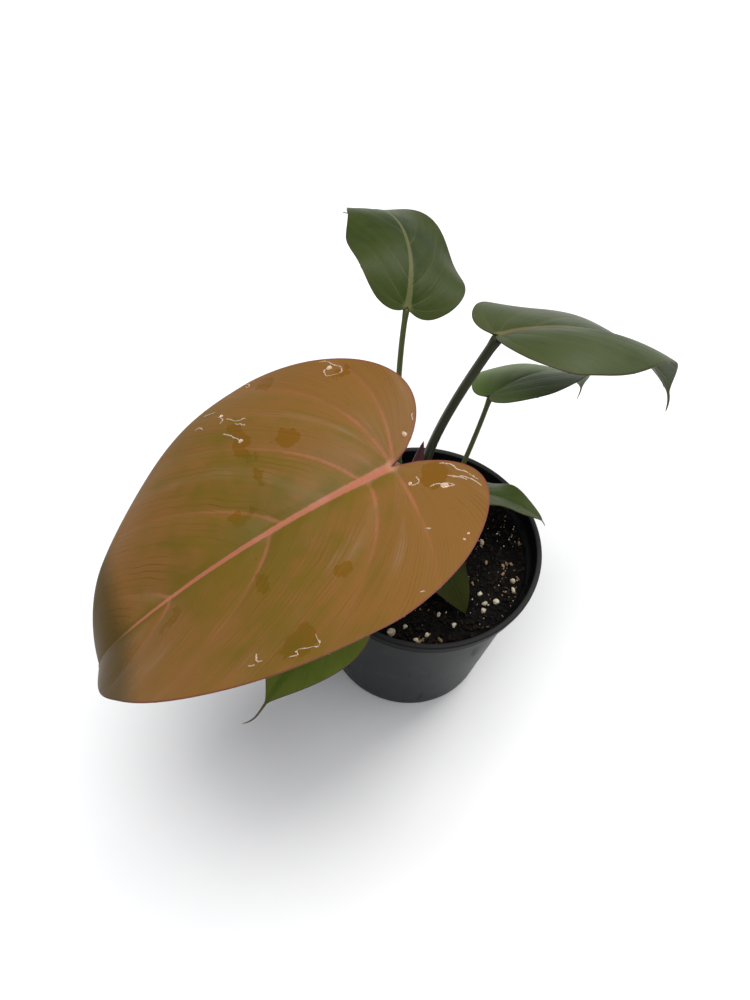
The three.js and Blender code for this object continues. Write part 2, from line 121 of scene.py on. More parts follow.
def piece(name, parts, material, slot, uvs=None, values=None, flat=False):
    """An object at the origin from a list of (points in mm, faces), welded where they meet.

    uvs maps a UV map's name, and values an attribute's name, to one array for all the points.
    """
    counts = np.cumsum([0] + [len(points) for points, _ in parts])
    points = np.concatenate([p for p, _ in parts]) * MM
    faces = [face for (_, quads), start in zip(parts, counts) for face in (quads + start).tolist()]
    mesh = bpy.data.meshes.new(name)
    mesh.from_pydata(points, [], faces)
    corner = np.empty(len(mesh.loops), np.int32)
    mesh.loops.foreach_get("vertex_index", corner)
    for key, uv in (uvs or {}).items():
        mesh.uv_layers.new(name=key).data.foreach_set("uv", uv[corner].astype(np.float32).ravel())
    for key, value in (values or {}).items():
        mesh.attributes.new(key, "FLOAT", "POINT").data.foreach_set("value", value.astype(np.float32))
    made = bmesh.new()
    made.from_mesh(mesh)
    bmesh.ops.remove_doubles(made, verts=made.verts, dist=1e-6)
    bmesh.ops.dissolve_degenerate(made, edges=made.edges, dist=1e-8)
    made.to_mesh(mesh)
    made.free()
    mesh.polygons.foreach_set("use_smooth", np.full(len(mesh.polygons), not flat))
    mesh.materials.append(material)
    made = bpy.data.objects.new(name, mesh)
    bpy.context.scene.collection.objects.link(made)
    if slot:
        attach(made, "root")
    return made


floor_skin, tree, shader = new_material("pale_floor")
set_inputs(tree, shader, {"Base Color": (0.87, 0.87, 0.87, 1), "Roughness": 0.9})
FLOOR_REACH = 3000
FLOOR_LEVEL = -0.05
FLOOR_LINES = 25
side = np.linspace(-FLOOR_REACH, FLOOR_REACH, FLOOR_LINES)
floor_points = np.stack([*np.meshgrid(side, side), np.full((FLOOR_LINES, FLOOR_LINES), FLOOR_LEVEL)], axis=-1)
floor_faces = grid_faces(FLOOR_LINES, FLOOR_LINES)
floor = piece("floor", [(floor_points.reshape(-1, 3), floor_faces)], floor_skin, None)

# ---------------------------------------------------------------- pot
# A thin nursery pot of black plastic, blow-moulded in one piece: a tapered body, a stacking band,
# a rolled lip at the top and drain holes in the base.
POT_HEIGHT = 95
RIM_RADIUS = 54
BASE_RADIUS = 40
BASE_EDGE = 38  # radius where the body's foot meets the flat base
BODY_TOP_RADIUS = 50.2
BAND_BOTTOM = 87
BAND_RADIUS = 52.8
LIP_BOTTOM = 92.6
BAND_SLOPE = 0.2  # how far the undersides of the band and the lip rise outwards
WALL = 1.2
FLOOR_THICKNESS = 1.6
DRAIN_HOLES = 6
HOLE_RADIUS = 3.5
HOLE_RING = 27  # radius of the circle that the holes' centres lie on
HUB_RADIUS = 14
POT_SIDES = 192
HUB_SIDES = 48


def body_radius(z):
    """Outside radius of the pot's body at a height, on the straight taper."""
    return BASE_RADIUS + (BODY_TOP_RADIUS - BASE_RADIUS) * z / BAND_BOTTOM


def inside_radius(z):
    """Inside radius of the pot's body at a height."""
    return body_radius(z) - WALL


def rounded(profile, radii, spacing=5.0):
    """A polyline whose inner corners are arcs of the given radii, with points every few mm.

    Each corner becomes a quadratic Bezier arc that starts and ends a radius away from it.
    """
    profile = np.array(profile, float)
    run = [profile[0]]
    t = np.linspace(0, 1, 7)[:, None]
    for before, corner, after, radius in zip(profile, profile[1:], profile[2:], radii):
        start = corner + radius * (before - corner) / np.linalg.norm(before - corner)
        end = corner + radius * (after - corner) / np.linalg.norm(after - corner)
        count = max(int(np.linalg.norm(start - run[-1]) / spacing), 1)
        run.extend(run[-1] + (start - run[-1]) * k / count for k in range(1, count))
        run.extend((1 - t) ** 2 * start + 2 * t * (1 - t) * corner + t ** 2 * end)
    run.append(profile[-1])
    return np.array(run)


def turned(profile, sides):
    """Points (r cos a, r sin a, z): each profile point at equal angles a round +Z."""
    angle = np.linspace(0, 2 * np.pi, sides + 1)
    r, z = profile[:, :1], profile[:, 1:]
    grid = np.stack([r * np.cos(angle), r * np.sin(angle), z + 0 * angle], axis=-1)
    return grid.reshape(-1, 3), grid_faces(len(profile), sides + 1)


def base_plate(z, reach, upwards):
    """A disc at height z with the drain holes, and their walls where it faces down.

    The disc is cut in one sector for each hole. In a sector the outline runs along the rim, in to
    the hub, round it and out again, and rings grow from the hole's edge to that outline.
    """
    sector = np.pi / DRAIN_HOLES  # half of a sector's angle
    steps = HUB_SIDES // DRAIN_HOLES
    arc = np.linspace(-sector, sector, POT_SIDES // DRAIN_HOLES + 1)
    hub_arc = np.linspace(sector, -sector, steps + 1)
    inwards = np.linspace(reach, HUB_RADIUS, steps + 1)
    radius = np.concatenate(
        [np.full(len(arc), reach), inwards[1:], np.full(steps, HUB_RADIUS), inwards[-2::-1]])
    angle = np.concatenate([arc, np.full(steps, sector), hub_arc[1:], np.full(steps, -sector)])
    outline = np.stack([radius * np.cos(angle), radius * np.sin(angle)], axis=-1)
    centre = np.array([HOLE_RING, 0])
    from_centre = outline - centre
    edge = centre + HOLE_RADIUS * from_centre / np.linalg.norm(from_centre, axis=1, keepdims=True)
    share = np.linspace(0, 1, 6)[:, None, None]
    flat = edge + (outline - edge) * share
    wall = np.stack([edge, edge])
    wall_heights = np.broadcast_to(np.array([FLOOR_THICKNESS, 0])[:, None, None], wall.shape[:2] + (1,))
    parts = []
    for turn in np.arange(DRAIN_HOLES) * 2 * sector:
        spin = np.array([[np.cos(turn), np.sin(turn)], [-np.sin(turn), np.cos(turn)]])
        grid = np.concatenate([flat @ spin, np.full(flat.shape[:2] + (1,), z)], axis=-1)
        parts.append((grid.reshape(-1, 3), grid_faces(len(share), len(outline), upwards)))
        if not upwards:
            tube = np.concatenate([wall @ spin, wall_heights], axis=-1)
            parts.append((tube.reshape(-1, 3), grid_faces(2, len(outline))))
    profile = np.stack([np.linspace(0, HUB_RADIUS, 4), np.full(4, z)], axis=-1)
    hub, faces = turned(profile, HUB_SIDES)
    parts.append((hub, faces[:, ::-1] if upwards else faces))
    return parts


overhang = BAND_RADIUS - BODY_TOP_RADIUS
floor_edge = inside_radius(FLOOR_THICKNESS) - 2
pot_profile = rounded(
    [(BASE_EDGE, 0), (BASE_RADIUS, 0), (BODY_TOP_RADIUS, BAND_BOTTOM),
     (BAND_RADIUS, BAND_BOTTOM + BAND_SLOPE), (BAND_RADIUS, LIP_BOTTOM - BAND_SLOPE),
     (RIM_RADIUS, LIP_BOTTOM), (RIM_RADIUS, POT_HEIGHT),
     (BAND_RADIUS - WALL, POT_HEIGHT), (inside_radius(BAND_BOTTOM) + overhang / 2, BAND_BOTTOM + WALL),
     (inside_radius(BAND_BOTTOM), BAND_BOTTOM), (inside_radius(FLOOR_THICKNESS), FLOOR_THICKNESS),
     (floor_edge, FLOOR_THICKNESS)],
    [1.9, 0.4, 0.5, 0.35, 0.35, 1.0, 1.0, 0.5, 0.5, 0.3, 0.3])


def node(tree, kind, values=(), **settings):
    """Adds a shader node. values maps its inputs to a constant or to another node's output."""
    made = tree.nodes.new("ShaderNode" + kind)
    for key, value in settings.items():
        setattr(made, key, value)
    for key, value in dict(values).items():
        if isinstance(value, bpy.types.NodeSocket):
            tree.links.new(value, made.inputs[key])
        else:
            made.inputs[key].default_value = value
    return made


def math(tree, operation, *values):
    """One Math node's result."""
    return node(tree, "Math", enumerate(values), operation=operation).outputs[0]


def times(tree, *values):
    """Product of two values."""
    return math(tree, "MULTIPLY", *values)


def plus(tree, *values):
    """Sum of two values."""
    return math(tree, "ADD", *values)


def step(tree, value, low, high):
    """0 below low and 1 above high, with a smooth rise between them; falls if low is above high."""
    values = {"Value": value, "From Min": low, "From Max": high}
    return node(tree, "MapRange", values, interpolation_type="SMOOTHSTEP").outputs["Result"]


def mixed(tree, share, first, second, blend="MIX"):
    """Colour between two colours."""
    values = {0: share, 6: first, 7: second}
    return node(tree, "Mix", values, data_type="RGBA", blend_type=blend).outputs[2]


def grain(tree, place, scale, detail=2.0, **settings):
    """Noise value, about 0.5 in the mean, at a place."""
    values = {"Vector": place, "Scale": scale, "Detail": detail}
    return node(tree, "TexNoise", values, **settings).outputs[0]


def bumped(tree, height, distance, strength=1.0):
    """Normal of a Bump node; distance is in metres for a height of 1."""
    values = {"Height": height, "Distance": distance, "Strength": strength}
    return node(tree, "Bump", values).outputs["Normal"]


pot_skin, tree, shader = new_material("black_pot_plastic")
place = node(tree, "TexCoord").outputs["Object"]
height = node(tree, "SeparateXYZ", {0: place}).outputs["Z"]
film = grain(tree, place, 34, 4)
dust = step(tree, grain(tree, place, 90, 6), 0.5, 0.75)
DIRT = (0.004, 0.0035, 0.003, 1)
BAND_LINE = BAND_BOTTOM * MM
TOP_LINE = POT_HEIGHT * MM
streak = grain(tree, node(tree, "Mapping", {"Vector": place, "Scale": (260, 260, 18)}).outputs[0], 1, 3)
smear = step(tree, plus(tree, streak, times(tree, film, 0.6)), 0.92, 1.15)
speck = step(tree, node(tree, "TexVoronoi", {"Vector": place, "Scale": 130}).outputs["Distance"], 0.2, 0.12)
soiled = times(tree, speck, step(tree, grain(tree, place, 45, 1), 0.56, 0.64))
below_band = times(tree, step(tree, height, BAND_LINE - 0.009, BAND_LINE - 0.0005),
                   step(tree, height, BAND_LINE + 0.0015, BAND_LINE + 0.0005))
grime = step(tree, plus(tree, film, grain(tree, place, 170, 3)), 0.96, 1.06)
band_shade = step(tree, height, BAND_LINE - 0.0002, BAND_LINE + 0.0004)
# Painted highlight: the top of the rim is lighter, where the light catches the lip.
painted_rim_highlight = step(tree, height, TOP_LINE - 0.0007, TOP_LINE)
tone = mixed(tree, film, (0.013, 0.0148, 0.016, 1), (0.025, 0.0265, 0.0265, 1))
tone = mixed(tree, times(tree, dust, 0.25), tone, (0.05, 0.048, 0.044, 1))
tone = mixed(tree, times(tree, smear, 0.3), tone, (0.03, 0.03, 0.03, 1))
tone = mixed(tree, times(tree, below_band, grime), tone, DIRT)
tone = mixed(tree, soiled, tone, DIRT)
tone = mixed(tree, times(tree, band_shade, 0.85), tone, (0.002, 0.002, 0.0018, 1))
tone = mixed(tree, painted_rim_highlight, tone, (0.03, 0.031, 0.03, 1))
rough = plus(tree, plus(tree, times(tree, film, 0.16), times(tree, smear, 0.14)), 0.26)
set_inputs(tree, shader, {
    "Base Color": tone, "Roughness": rough, "IOR": 1.5, "Specular IOR Level": 0.04,
    "Normal": bumped(tree, grain(tree, place, 700, 3), 0.00003, 0.6),
})
pot = piece("pot_shell", [turned(pot_profile, POT_SIDES),
                          *base_plate(0, BASE_EDGE, False),
                          *base_plate(FLOOR_THICKNESS, floor_edge, True)],
            pot_skin, "pot_plastic")
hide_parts("pot")

# ---------------------------------------------------------------- potting mix
# Black, damp peat with crumbs, scraps of bark and perlite. It fills the pot up to 11 mm under
# the rim and stands a little higher in the middle.
MIX_TOP = 84
MIX_GAP = 0.3  # between the mix and the pot's wall and floor
MIX_RADIUS = inside_radius(MIX_TOP) - MIX_GAP
MIX_SIDES = 288
random = np.random.default_rng(7)


def noise(points, scale, seed):
    """Value noise, -1 to 1: random numbers on a cubic lattice, blended with a smooth step."""
    at = np.asarray(points, float) / scale
    cell = np.floor(at).astype(int)
    t = at - cell
    t = t * t * (3 - 2 * t)
    size = 32
    table = np.random.default_rng(seed).uniform(-1, 1, (size, size, size))
    total = 0
    for corner in np.ndindex(2, 2, 2):
        x, y, z = np.moveaxis((cell + corner) % size, -1, 0)
        total = total + np.prod(np.where(corner, t, 1 - t), axis=-1) * table[x, y, z]
    return total


def mix_height(x, y):
    """Height of the mix: a low crown, plus lumps of three sizes that fade out at the wall."""
    share = np.minimum(np.hypot(x, y) / MIX_RADIUS, 1)
    at = np.stack([x, y, 0 * x], axis=-1)
    lumps = 1.1 * noise(at, 9, 1) + 0.7 * noise(at, 3.4, 2) + 0.35 * noise(at, 1.4, 3)
    return MIX_TOP + 1 - share ** 2 + lumps * (1 - 0.7 * share ** 6) - 0.4


rings = MIX_RADIUS * np.linspace(1, 0, 120)
angle = np.linspace(0, 2 * np.pi, MIX_SIDES + 1)
x, y = rings[:, None] * np.cos(angle), rings[:, None] * np.sin(angle)
mix_surface = np.stack([x, y, mix_height(x, y)], axis=-1)
bottom = FLOOR_THICKNESS + MIX_GAP
mix_side = rounded(
    [(0, bottom), (inside_radius(bottom) - MIX_GAP, bottom), (MIX_RADIUS - 0.2, MIX_TOP - 1.5)], [0.5])
mix_side_grid = turned(mix_side, MIX_SIDES)[0].reshape(len(mix_side), MIX_SIDES + 1, 3)
mix_grid = np.concatenate([mix_side_grid, mix_surface])
mix_faces = grid_faces(len(mix_grid), MIX_SIDES + 1)


def earth_skin(name, dark, light, roughness):
    """Damp crumbly matter whose colour changes from crumb to crumb."""
    made, tree, shader = new_material(name)
    place = node(tree, "TexCoord").outputs["Object"]
    cells = node(tree, "TexVoronoi", {"Vector": place, "Scale": 620})
    crumb = node(tree, "SeparateXYZ", {0: cells.outputs["Color"]}).outputs[0]
    share = times(tree, crumb, grain(tree, place, 160, 4))
    rough = plus(tree, times(tree, crumb, -0.25), roughness)
    lumps = plus(tree, grain(tree, place, 900, 5), cells.outputs["Distance"])
    set_inputs(tree, shader, {
        "Base Color": mixed(tree, share, dark, light), "Roughness": rough,
        "Specular IOR Level": 0.12, "Normal": bumped(tree, lumps, 0.0004),
    })
    return made


mix_skin = earth_skin("damp_peat", (0.001, 0.0008, 0.0007, 1), (0.008, 0.0055, 0.004, 1), 0.95)
mix = piece("potting_mix_bed", [(mix_grid.reshape(-1, 3), mix_faces)], mix_skin, "potting_mix")
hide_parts("potting_mix")


def lump_shape(divisions):
    """Corners and faces of a sphere of radius 1 made of triangles."""
    made = bmesh.new()
    bmesh.ops.create_icosphere(made, subdivisions=divisions, radius=1)
    corners = np.array([v.co for v in made.verts])
    faces = np.array([[v.index for v in f.verts] for f in made.faces])
    made.free()
    return corners, faces


def turns(count, random):
    """Random rotations: the axes that a QR factorisation makes of random matrices, right-handed."""
    axes = np.linalg.qr(random.normal(size=(count, 3, 3)))[0]
    return axes * np.sign(np.linalg.det(axes))[:, None, None]


def lumps(centres, sizes, stretch, roughness, divisions, random):
    """Rough lumps: spheres pushed in and out by noise, stretched, turned and set in place."""
    corners, faces = lump_shape(divisions)
    count = len(centres)
    shifted = corners[None] * 1.3 + random.uniform(0, 40, (count, 1, 3))
    swell = 1 + roughness * noise(shifted, 1.0, 11) + 0.4 * roughness * noise(shifted, 0.45, 12)
    shape = (corners[None] * swell[..., None] * stretch) @ turns(count, random)
    points = centres[:, None] + shape * sizes[:, None, None] / 2
    all_faces = faces[None] + (np.arange(count) * len(corners))[:, None, None]
    return points.reshape(-1, 3), all_faces.reshape(-1, 3)


def scattered(count, low, high, random, drifts, reach=0.985, sunk=0.15):
    """Places on the mix, and sizes between two limits, mostly small ones. They lie evenly over its
    area, except that two thirds gather 3 mm or so round as many places as there are drifts."""
    r = MIX_RADIUS * reach * np.sqrt(random.uniform(0, 1, count))
    a = random.uniform(0, 2 * np.pi, count)
    sizes = low + (high - low) * random.uniform(0, 1, count) ** 2.5
    x, y = r * np.cos(a), r * np.sin(a)
    if drifts:
        home = random.integers(0, drifts, count)
        gathered = random.uniform(0, 1, count) < 0.66
        x, y = (np.where(gathered, axis[home] + random.normal(0, 3, count), axis) for axis in (x, y))
        inwards = np.minimum(1, MIX_RADIUS * reach / np.hypot(x, y))
        x, y = x * inwards, y * inwards
    return np.stack([x, y, mix_height(x, y) + sizes * (0.5 - sunk) * 0.6], axis=-1), sizes


def per_lump(points, count, random):
    """One random tone for all the points of each lump."""
    return np.repeat(random.uniform(0, 1, count), len(points) // count)


def lump_skin(name, dark, light, roughness, pits):
    """Colour by the lump's own tone, with pits of the given size in metres."""
    made, tree, shader = new_material(name)
    place = node(tree, "TexCoord").outputs["Object"]
    tone = node(tree, "Attribute", attribute_name="tone").outputs["Fac"]
    stain = step(tree, grain(tree, place, 500, 3), 0.35, 0.75)
    set_inputs(tree, shader, {
        "Base Color": mixed(tree, times(tree, tone, stain), light, dark), "Roughness": roughness,
        "Specular IOR Level": 0.15,
        "Normal": bumped(tree, grain(tree, place, 2600, 4), pits),
    })
    return made


# Each row: name, how many, size limits, drifts, stretch, dark tone and light tone.
for name, count, limits, drifts, stretch, dark, light in (
    ("peat_crumbs", 1500, (0.7, 3.0), 0, (1.2, 0.9, 0.7),
     (0.001, 0.0008, 0.0006, 1), (0.013, 0.009, 0.0065, 1)),
    ("bark_scraps", 330, (0.6, 2.3), 16, (1.6, 0.8, 0.4),
     (0.03, 0.014, 0.007, 1), (0.28, 0.19, 0.105, 1)),
    ("perlite_specks", 360, (0.35, 1.4), 18, (1, 0.9, 0.75),
     (0.16, 0.13, 0.08, 1), (0.6, 0.54, 0.4, 1)),
):
    centres, sizes = scattered(count, *limits, random, drifts)
    points, faces = lumps(centres, sizes, stretch, 0.28, 1, random)
    tones = per_lump(points, count, random)
    slot = "perlite" if name == "perlite_specks" else "potting_mix"
    skin = lump_skin(name + "_skin", dark, light, 0.9, 0.0001)
    piece(name, [(points, faces)], skin, slot, values={"tone": tones}, flat=name == "bark_scraps")

# ---------------------------------------------------------------- perlite granules
# Puffed volcanic glass, off-white and pitted, and stained brown by the damp peat. The granules
# lie loose on the mix, sunk into it by less than half.
granules = sorted(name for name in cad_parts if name.startswith("perlite_"))
corners = np.array([[list(p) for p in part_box(name)] for name in granules]) / MM
centres = corners.mean(axis=1)
sizes = (corners[:, 1] - corners[:, 0])[:, :2].max(axis=1) * 1.12
centres[:, 2] = mix_height(centres[:, 0], centres[:, 1]) + 0.28 * sizes
points, faces = lumps(centres, sizes, (1.15, 0.9, 0.75), 0.42, 3, random)
perlite_skin = lump_skin("perlite_skin", (0.3, 0.22, 0.12, 1), (0.68, 0.6, 0.45, 1), 0.92, 0.0002)
perlite = piece("perlite_granules", [(points, faces)], perlite_skin, "perlite",
                values={"tone": per_lump(points, len(granules), random)})
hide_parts(*granules)

# ---------------------------------------------------------------- stem
# A short green stem that leans back to the left, ringed where old leaves were. The stalks grow
# out of it one above the other.
STEM_TOP = np.array([-9, 12, MIX_TOP + 36])
STEM_KNOTS = np.array([[0, 0, 49], [0, 0, 66.5], [-0.72, 0.96, 84], [-4.05, 5.04, 102], STEM_TOP])
SECTION_POINTS = 33


def through(knots, t):
    """Catmull-Rom curve through the knots at shares t of the way."""
    ends = np.vstack([2 * knots[0] - knots[1], knots, 2 * knots[-1] - knots[-2]])
    place = np.clip(t, 0, 1) * (len(knots) - 1)
    k = np.minimum(place.astype(int), len(knots) - 2)
    s = (place - k)[:, None]
    a, b, c, d = (ends[k + i] for i in range(4))
    curve = 2 * b + (c - a) * s + (2 * a - 5 * b + 4 * c - d) * s ** 2 + (3 * b - a - 3 * c + d) * s ** 3
    return 0.5 * curve


def swept(path, outline, side):
    """A closed skin: outline(share, angle) gives a section's (across, out) in mm on each ring.

    The rings stand square to the path; side is a direction square to the bend of the path, and
    the first and the last ring are drawn together to close the ends.
    """
    along = np.gradient(path, axis=0)
    along /= np.linalg.norm(along, axis=1, keepdims=True)
    out = np.cross(side, along)
    out /= np.linalg.norm(out, axis=1, keepdims=True)
    across = np.cross(along, out)
    share = np.linspace(0, 1, len(path))[:, None]
    angle = np.linspace(0, 2 * np.pi, SECTION_POINTS)[None]
    p, q = outline(share, angle)
    grid = path[:, None] + p[..., None] * across[:, None] + q[..., None] * out[:, None]
    cap = lambda ring, centre: np.broadcast_to(centre, ring.shape)
    grid = np.concatenate([cap(grid[:1], path[0]), grid, cap(grid[-1:], path[-1])])
    uv = np.stack(np.broadcast_arrays(np.linspace(0, 1, len(grid))[:, None], angle / (2 * np.pi)), axis=-1)
    return grid.reshape(-1, 3), grid_faces(len(grid), SECTION_POINTS, flip=True), uv.reshape(-1, 2)


def round_end(share, at, width):
    """1 along the way, and falling to 0 as a quarter circle over the last width before at."""
    return np.sqrt(np.clip(1 - np.clip((share - at + width) / width, 0, 1) ** 2, 0, 1))


stem_path = through(STEM_KNOTS, np.linspace(0, 1, 140))
leaf_scars = np.array([0.52, 0.62, 0.72, 0.8, 0.88, 0.94])


def stem_outline(share, angle):
    """Tapered circle with a narrow raised ring at each scar and faint lengthwise ribs."""
    scar = np.exp(-((share - leaf_scars) / 0.008) ** 2).sum(axis=1, keepdims=True)
    radius = 5.4 - 1.5 * share + 0.35 * scar + 0.12 * np.cos(9 * angle) + 0.1 * np.sin(40 * share)
    radius = radius * round_end(share, 1.0, 0.04)
    return radius * np.cos(angle), radius * np.sin(angle)


def stalk_skin(name, deep, pale, low_tone, roughness):
    """Smooth plant skin with fine lengthwise streaks, tinted towards its foot."""
    deep, pale, low_tone = ((*tone, 1) for tone in (deep, pale, low_tone))
    made, tree, shader = new_material(name)
    uv = node(tree, "UVMap", uv_map="round").outputs[0]
    place = node(tree, "TexCoord").outputs["Object"]
    share = node(tree, "SeparateXYZ", {0: uv}).outputs[0]
    stripes = node(tree, "Mapping", {"Vector": uv, "Scale": (3, 22, 1)}).outputs[0]
    streak = grain(tree, stripes, 1.5, 3)
    blotch = grain(tree, place, 120, 3)
    tone = mixed(tree, step(tree, streak, 0.3, 0.7), deep, pale)
    tone = mixed(tree, times(tree, step(tree, blotch, 0.45, 0.7), 0.35), tone, deep)
    tone = mixed(tree, step(tree, share, 0.3, 0.02), tone, low_tone)
    set_inputs(tree, shader, {
        "Base Color": tone, "Roughness": roughness, "Specular IOR Level": 0.15,
        "Normal": bumped(tree, plus(tree, streak, times(tree, blotch, 0.3)), 0.00012),
    })
    return made


stem_skin = stalk_skin("stem_skin", (0.035, 0.045, 0.018), (0.07, 0.08, 0.03), (0.03, 0.022, 0.012), 0.5)
points, faces, uv = swept(stem_path, stem_outline, np.array([0.8, 0.6, 0]))
stem = piece("stem_body", [(points, faces)], stem_skin, "stem_skin", uvs={"round": uv})
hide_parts("stem")

# ---------------------------------------------------------------- leaf blades
# Each blade is a thin heart-shaped sheet. It is laid out flat, from the joint at (0, 0) to the
# tip at (length, 0), and then bent along its midrib, across its halves, and in a margin wave.
VEIN_ARCH = 0.24
DRIP_WIDTH = 0.05
# A pair of values is for the left and the right half, but size holds the length and a half's
# width. aim is the heading, pitch and roll at the joint, and bend how far the midrib droops,
# swings and twists and, at the tip, hooks down and sideways. outline holds the lobe's bulge and
# power, the widest place, the taper, the drip tip's share and the squareness.
LEAVES = {
    "soil": dict(
        at=(2, -9, 21), size=(37, 12), aim=(-48, -13, -3), bend=(-38, 0, 0, -26, 0), lobe_bend=18,
        fold=(7, 8), recurve=(17, 15), wave=(2, 0, 90), outline=(0.09, 0.63, 0.18, 0.95, 0.09, 0.9),
        halves=(1, 1), rows=110, columns=34),
    "low": dict(
        at=(-41, -57, 45), size=(64, 22), aim=(-115, -47, -12), bend=(7, -14, 0, 21, -38), lobe_bend=18,
        fold=(7, 5), recurve=(17, 18), wave=(1.6, 5, 73), outline=(0.17, 0.66, 0.07, 1.2, 0.24, 0.89),
        halves=(1.06, 0.98), rows=150, columns=44),
    "rim": dict(
        at=(15, 16, 32), size=(40, 14), aim=(-11, 23, -24), bend=(-47, -14, 8, -24, -15), lobe_bend=17,
        fold=(1, 20), recurve=(9, 15), wave=(1.6, 164, 181), outline=(0.07, 0.62, 0.18, 0.9, 0.09, 0.92),
        halves=(1.03, 1.03), rows=110, columns=34),
    "middle": dict(
        at=(18, 41.5, 69.5), size=(86, 24), aim=(43, 9, -23), bend=(-81, -6, -2, -36, 21), lobe_bend=39,
        fold=(0, 12), recurve=(19, 13), wave=(-0.7, -71, -58), outline=(0.04, 0.58, 0.2, 1.33, 0.12, 0.93),
        halves=(1.01, 0.94), rows=150, columns=44),
    "tall": dict(
        at=(-22.5, 61.5, 95.5), size=(100, 29), aim=(87, 29, 28), bend=(-89, 57, -10, 42, 12), lobe_bend=17,
        fold=(-1, -2), recurve=(25, 1), wave=(5, 62, 71), outline=(0.04, 0.67, 0.24, 0.71, 0.08, 0.93),
        halves=(0.92, 1.01), rows=170, columns=50),
    "right": dict(
        at=(14.5, 37.5, 111), size=(130, 36), aim=(27, 2, -20), bend=(-74, -17, -14, -13, 0), lobe_bend=19,
        fold=(4, 24), recurve=(16, 56), wave=(-2.5, -42, -116), outline=(0.04, 0.62, 0.13, 1.34, 0.13, 0.88),
        halves=(1.02, 1.13), rows=190, columns=56),
    "front": dict(
        at=(-21, -33, 110.5), size=(141, 62), aim=(-144, -4.7, -4.7), bend=(-46, -8, 12.5, -23, -3),
        lobe_bend=47, fold=(9, 14), recurve=(-14, 41), wave=(1.5, 5, 192),
        outline=(0.18, 0.557, 0.218, 0.58, 0.02, 0.77), halves=(0.98, 1.16), lobes=(1, 0.91),
        rows=230, columns=80),
}
# Where the main side veins of the left and the right half start and end, as shares of the way
# along the margin from the lobe's back to the tip.
SIDE_VEINS = {
    "front": (((0.37, 0.26), (0.59, 0.44), (0.75, 0.73), (0.88, 0.89)),
              ((0.17, 0.17), (0.385, 0.37), (0.6, 0.6), (0.73, 0.755), (0.88, 0.89))),
    "other": (((0.2, 0.2), (0.45, 0.42), (0.62, 0.58), (0.76, 0.74), (0.88, 0.88)),
              ((0.2, 0.2), (0.42, 0.4), (0.6, 0.57), (0.73, 0.72), (0.86, 0.86))),
}


def smooth(t):
    """Smooth step from 0 at 0 to 1 at 1."""
    t = np.clip(t, 0, 1)
    return t * t * (3 - 2 * t)


def half_outline(leaf, half):
    """Outline of one half, from the joint round the lobe to the tip, with y outwards.

    Up to the widest place it is an ellipse less a sine bulge, the lobe. Ahead of that it is a
    power of a cosine, plus a root curve that leaves a narrow drip tip.
    """
    length, width = leaf["size"]
    lobe, notch, belly, taper, drip, square = leaf["outline"]
    angle = np.linspace(0, np.pi / 2, 81)
    bulge = lobe * leaf.get("lobes", (1, 1))[half] * np.sin(np.pi * np.sin(angle) ** notch)
    t = np.linspace(0, 1, 121)[1:]
    body = np.cos(np.pi / 2 * np.minimum(t / (1 - drip), 1)) ** taper
    x = np.concatenate([belly * (1 - np.cos(angle)) - bulge, belly + (1 - belly) * t])
    y = np.concatenate([np.sin(angle) ** square, (1 - DRIP_WIDTH) * body + DRIP_WIDTH * np.sqrt(1 - t)])
    points = np.stack([x * length, y * width * leaf["halves"][half]], axis=-1)
    points[0], points[-1] = (0, 0), (length, 0)
    return points


def at_share(points, share):
    """Points at shares of a polyline's length."""
    run = np.concatenate([[0], np.cumsum(np.linalg.norm(np.diff(points, axis=0), axis=1))])
    return np.stack([np.interp(share * run[-1], run, points[:, k]) for k in (0, 1)], axis=-1)


def lay_flat(leaf, half, u, v):
    """Flat places for shares u out from the rib or joint and v along the margin.

    For each v a quadratic Bezier ray, bowed backwards, runs from the joint, or from the midrib
    past v = 0.5, to the margin. Near v = 0 the rays bend over into the edge of the notch.
    """
    length = leaf["size"][0]
    outline = half_outline(leaf, half)
    back = max(int(np.argmin(outline[:, 0])), 2)
    notch, margin = outline[:back + 1], outline[back:]

    def ray(start, end):
        bow = VEIN_ARCH * np.linalg.norm(end - start, axis=-1)
        middle = (start + end) / 2
        middle = np.stack([middle[..., 0] - bow, middle[..., 1]], axis=-1)
        w = u[..., None]
        return (1 - w) ** 2 * start + 2 * w * (1 - w) * middle + w ** 2 * end

    along = length * np.clip((v - 0.5) / 0.5, 0, 1) ** 1.5
    rays = ray(np.stack([along, 0 * along], axis=-1), at_share(margin, v))
    first = ray(np.zeros(u.shape + (2,)), np.broadcast_to(margin[0], u.shape + (2,)))
    blend = np.clip(1 - v / 0.14, 0, 1)[..., None] ** 2
    return rays + blend * (at_share(notch, u) - first)


def distance_to(points, line, fine=300):
    """Distance of each point from a flat polyline, and the share of its length at that place."""
    share = np.linspace(0, 1, fine)
    dense = at_share(line, share)
    flat = points.reshape(-1, 2)
    best = np.full(len(flat), 1e9)
    where = np.zeros(len(flat))
    for s, place in zip(share, dense):
        d = np.hypot(flat[:, 0] - place[0], flat[:, 1] - place[1])
        nearer = d < best
        best[nearer], where[nearer] = d[nearer], s
    return best.reshape(points.shape[:-1]), where.reshape(points.shape[:-1])


def side_vein_lines(name, half):
    """Flat polylines of a half's main side veins."""
    out = np.linspace(0, 1, 60)
    ends = SIDE_VEINS.get(name, SIDE_VEINS["other"])[half]
    return [lay_flat(LEAVES[name], half, out, a + (b - a) * out) for a, b in ends]


def blade_scale(name):
    """A blade's size against one whose halves are 60 mm wide; veins and ribs shrink with it."""
    return LEAVES[name]["size"][1] / 60


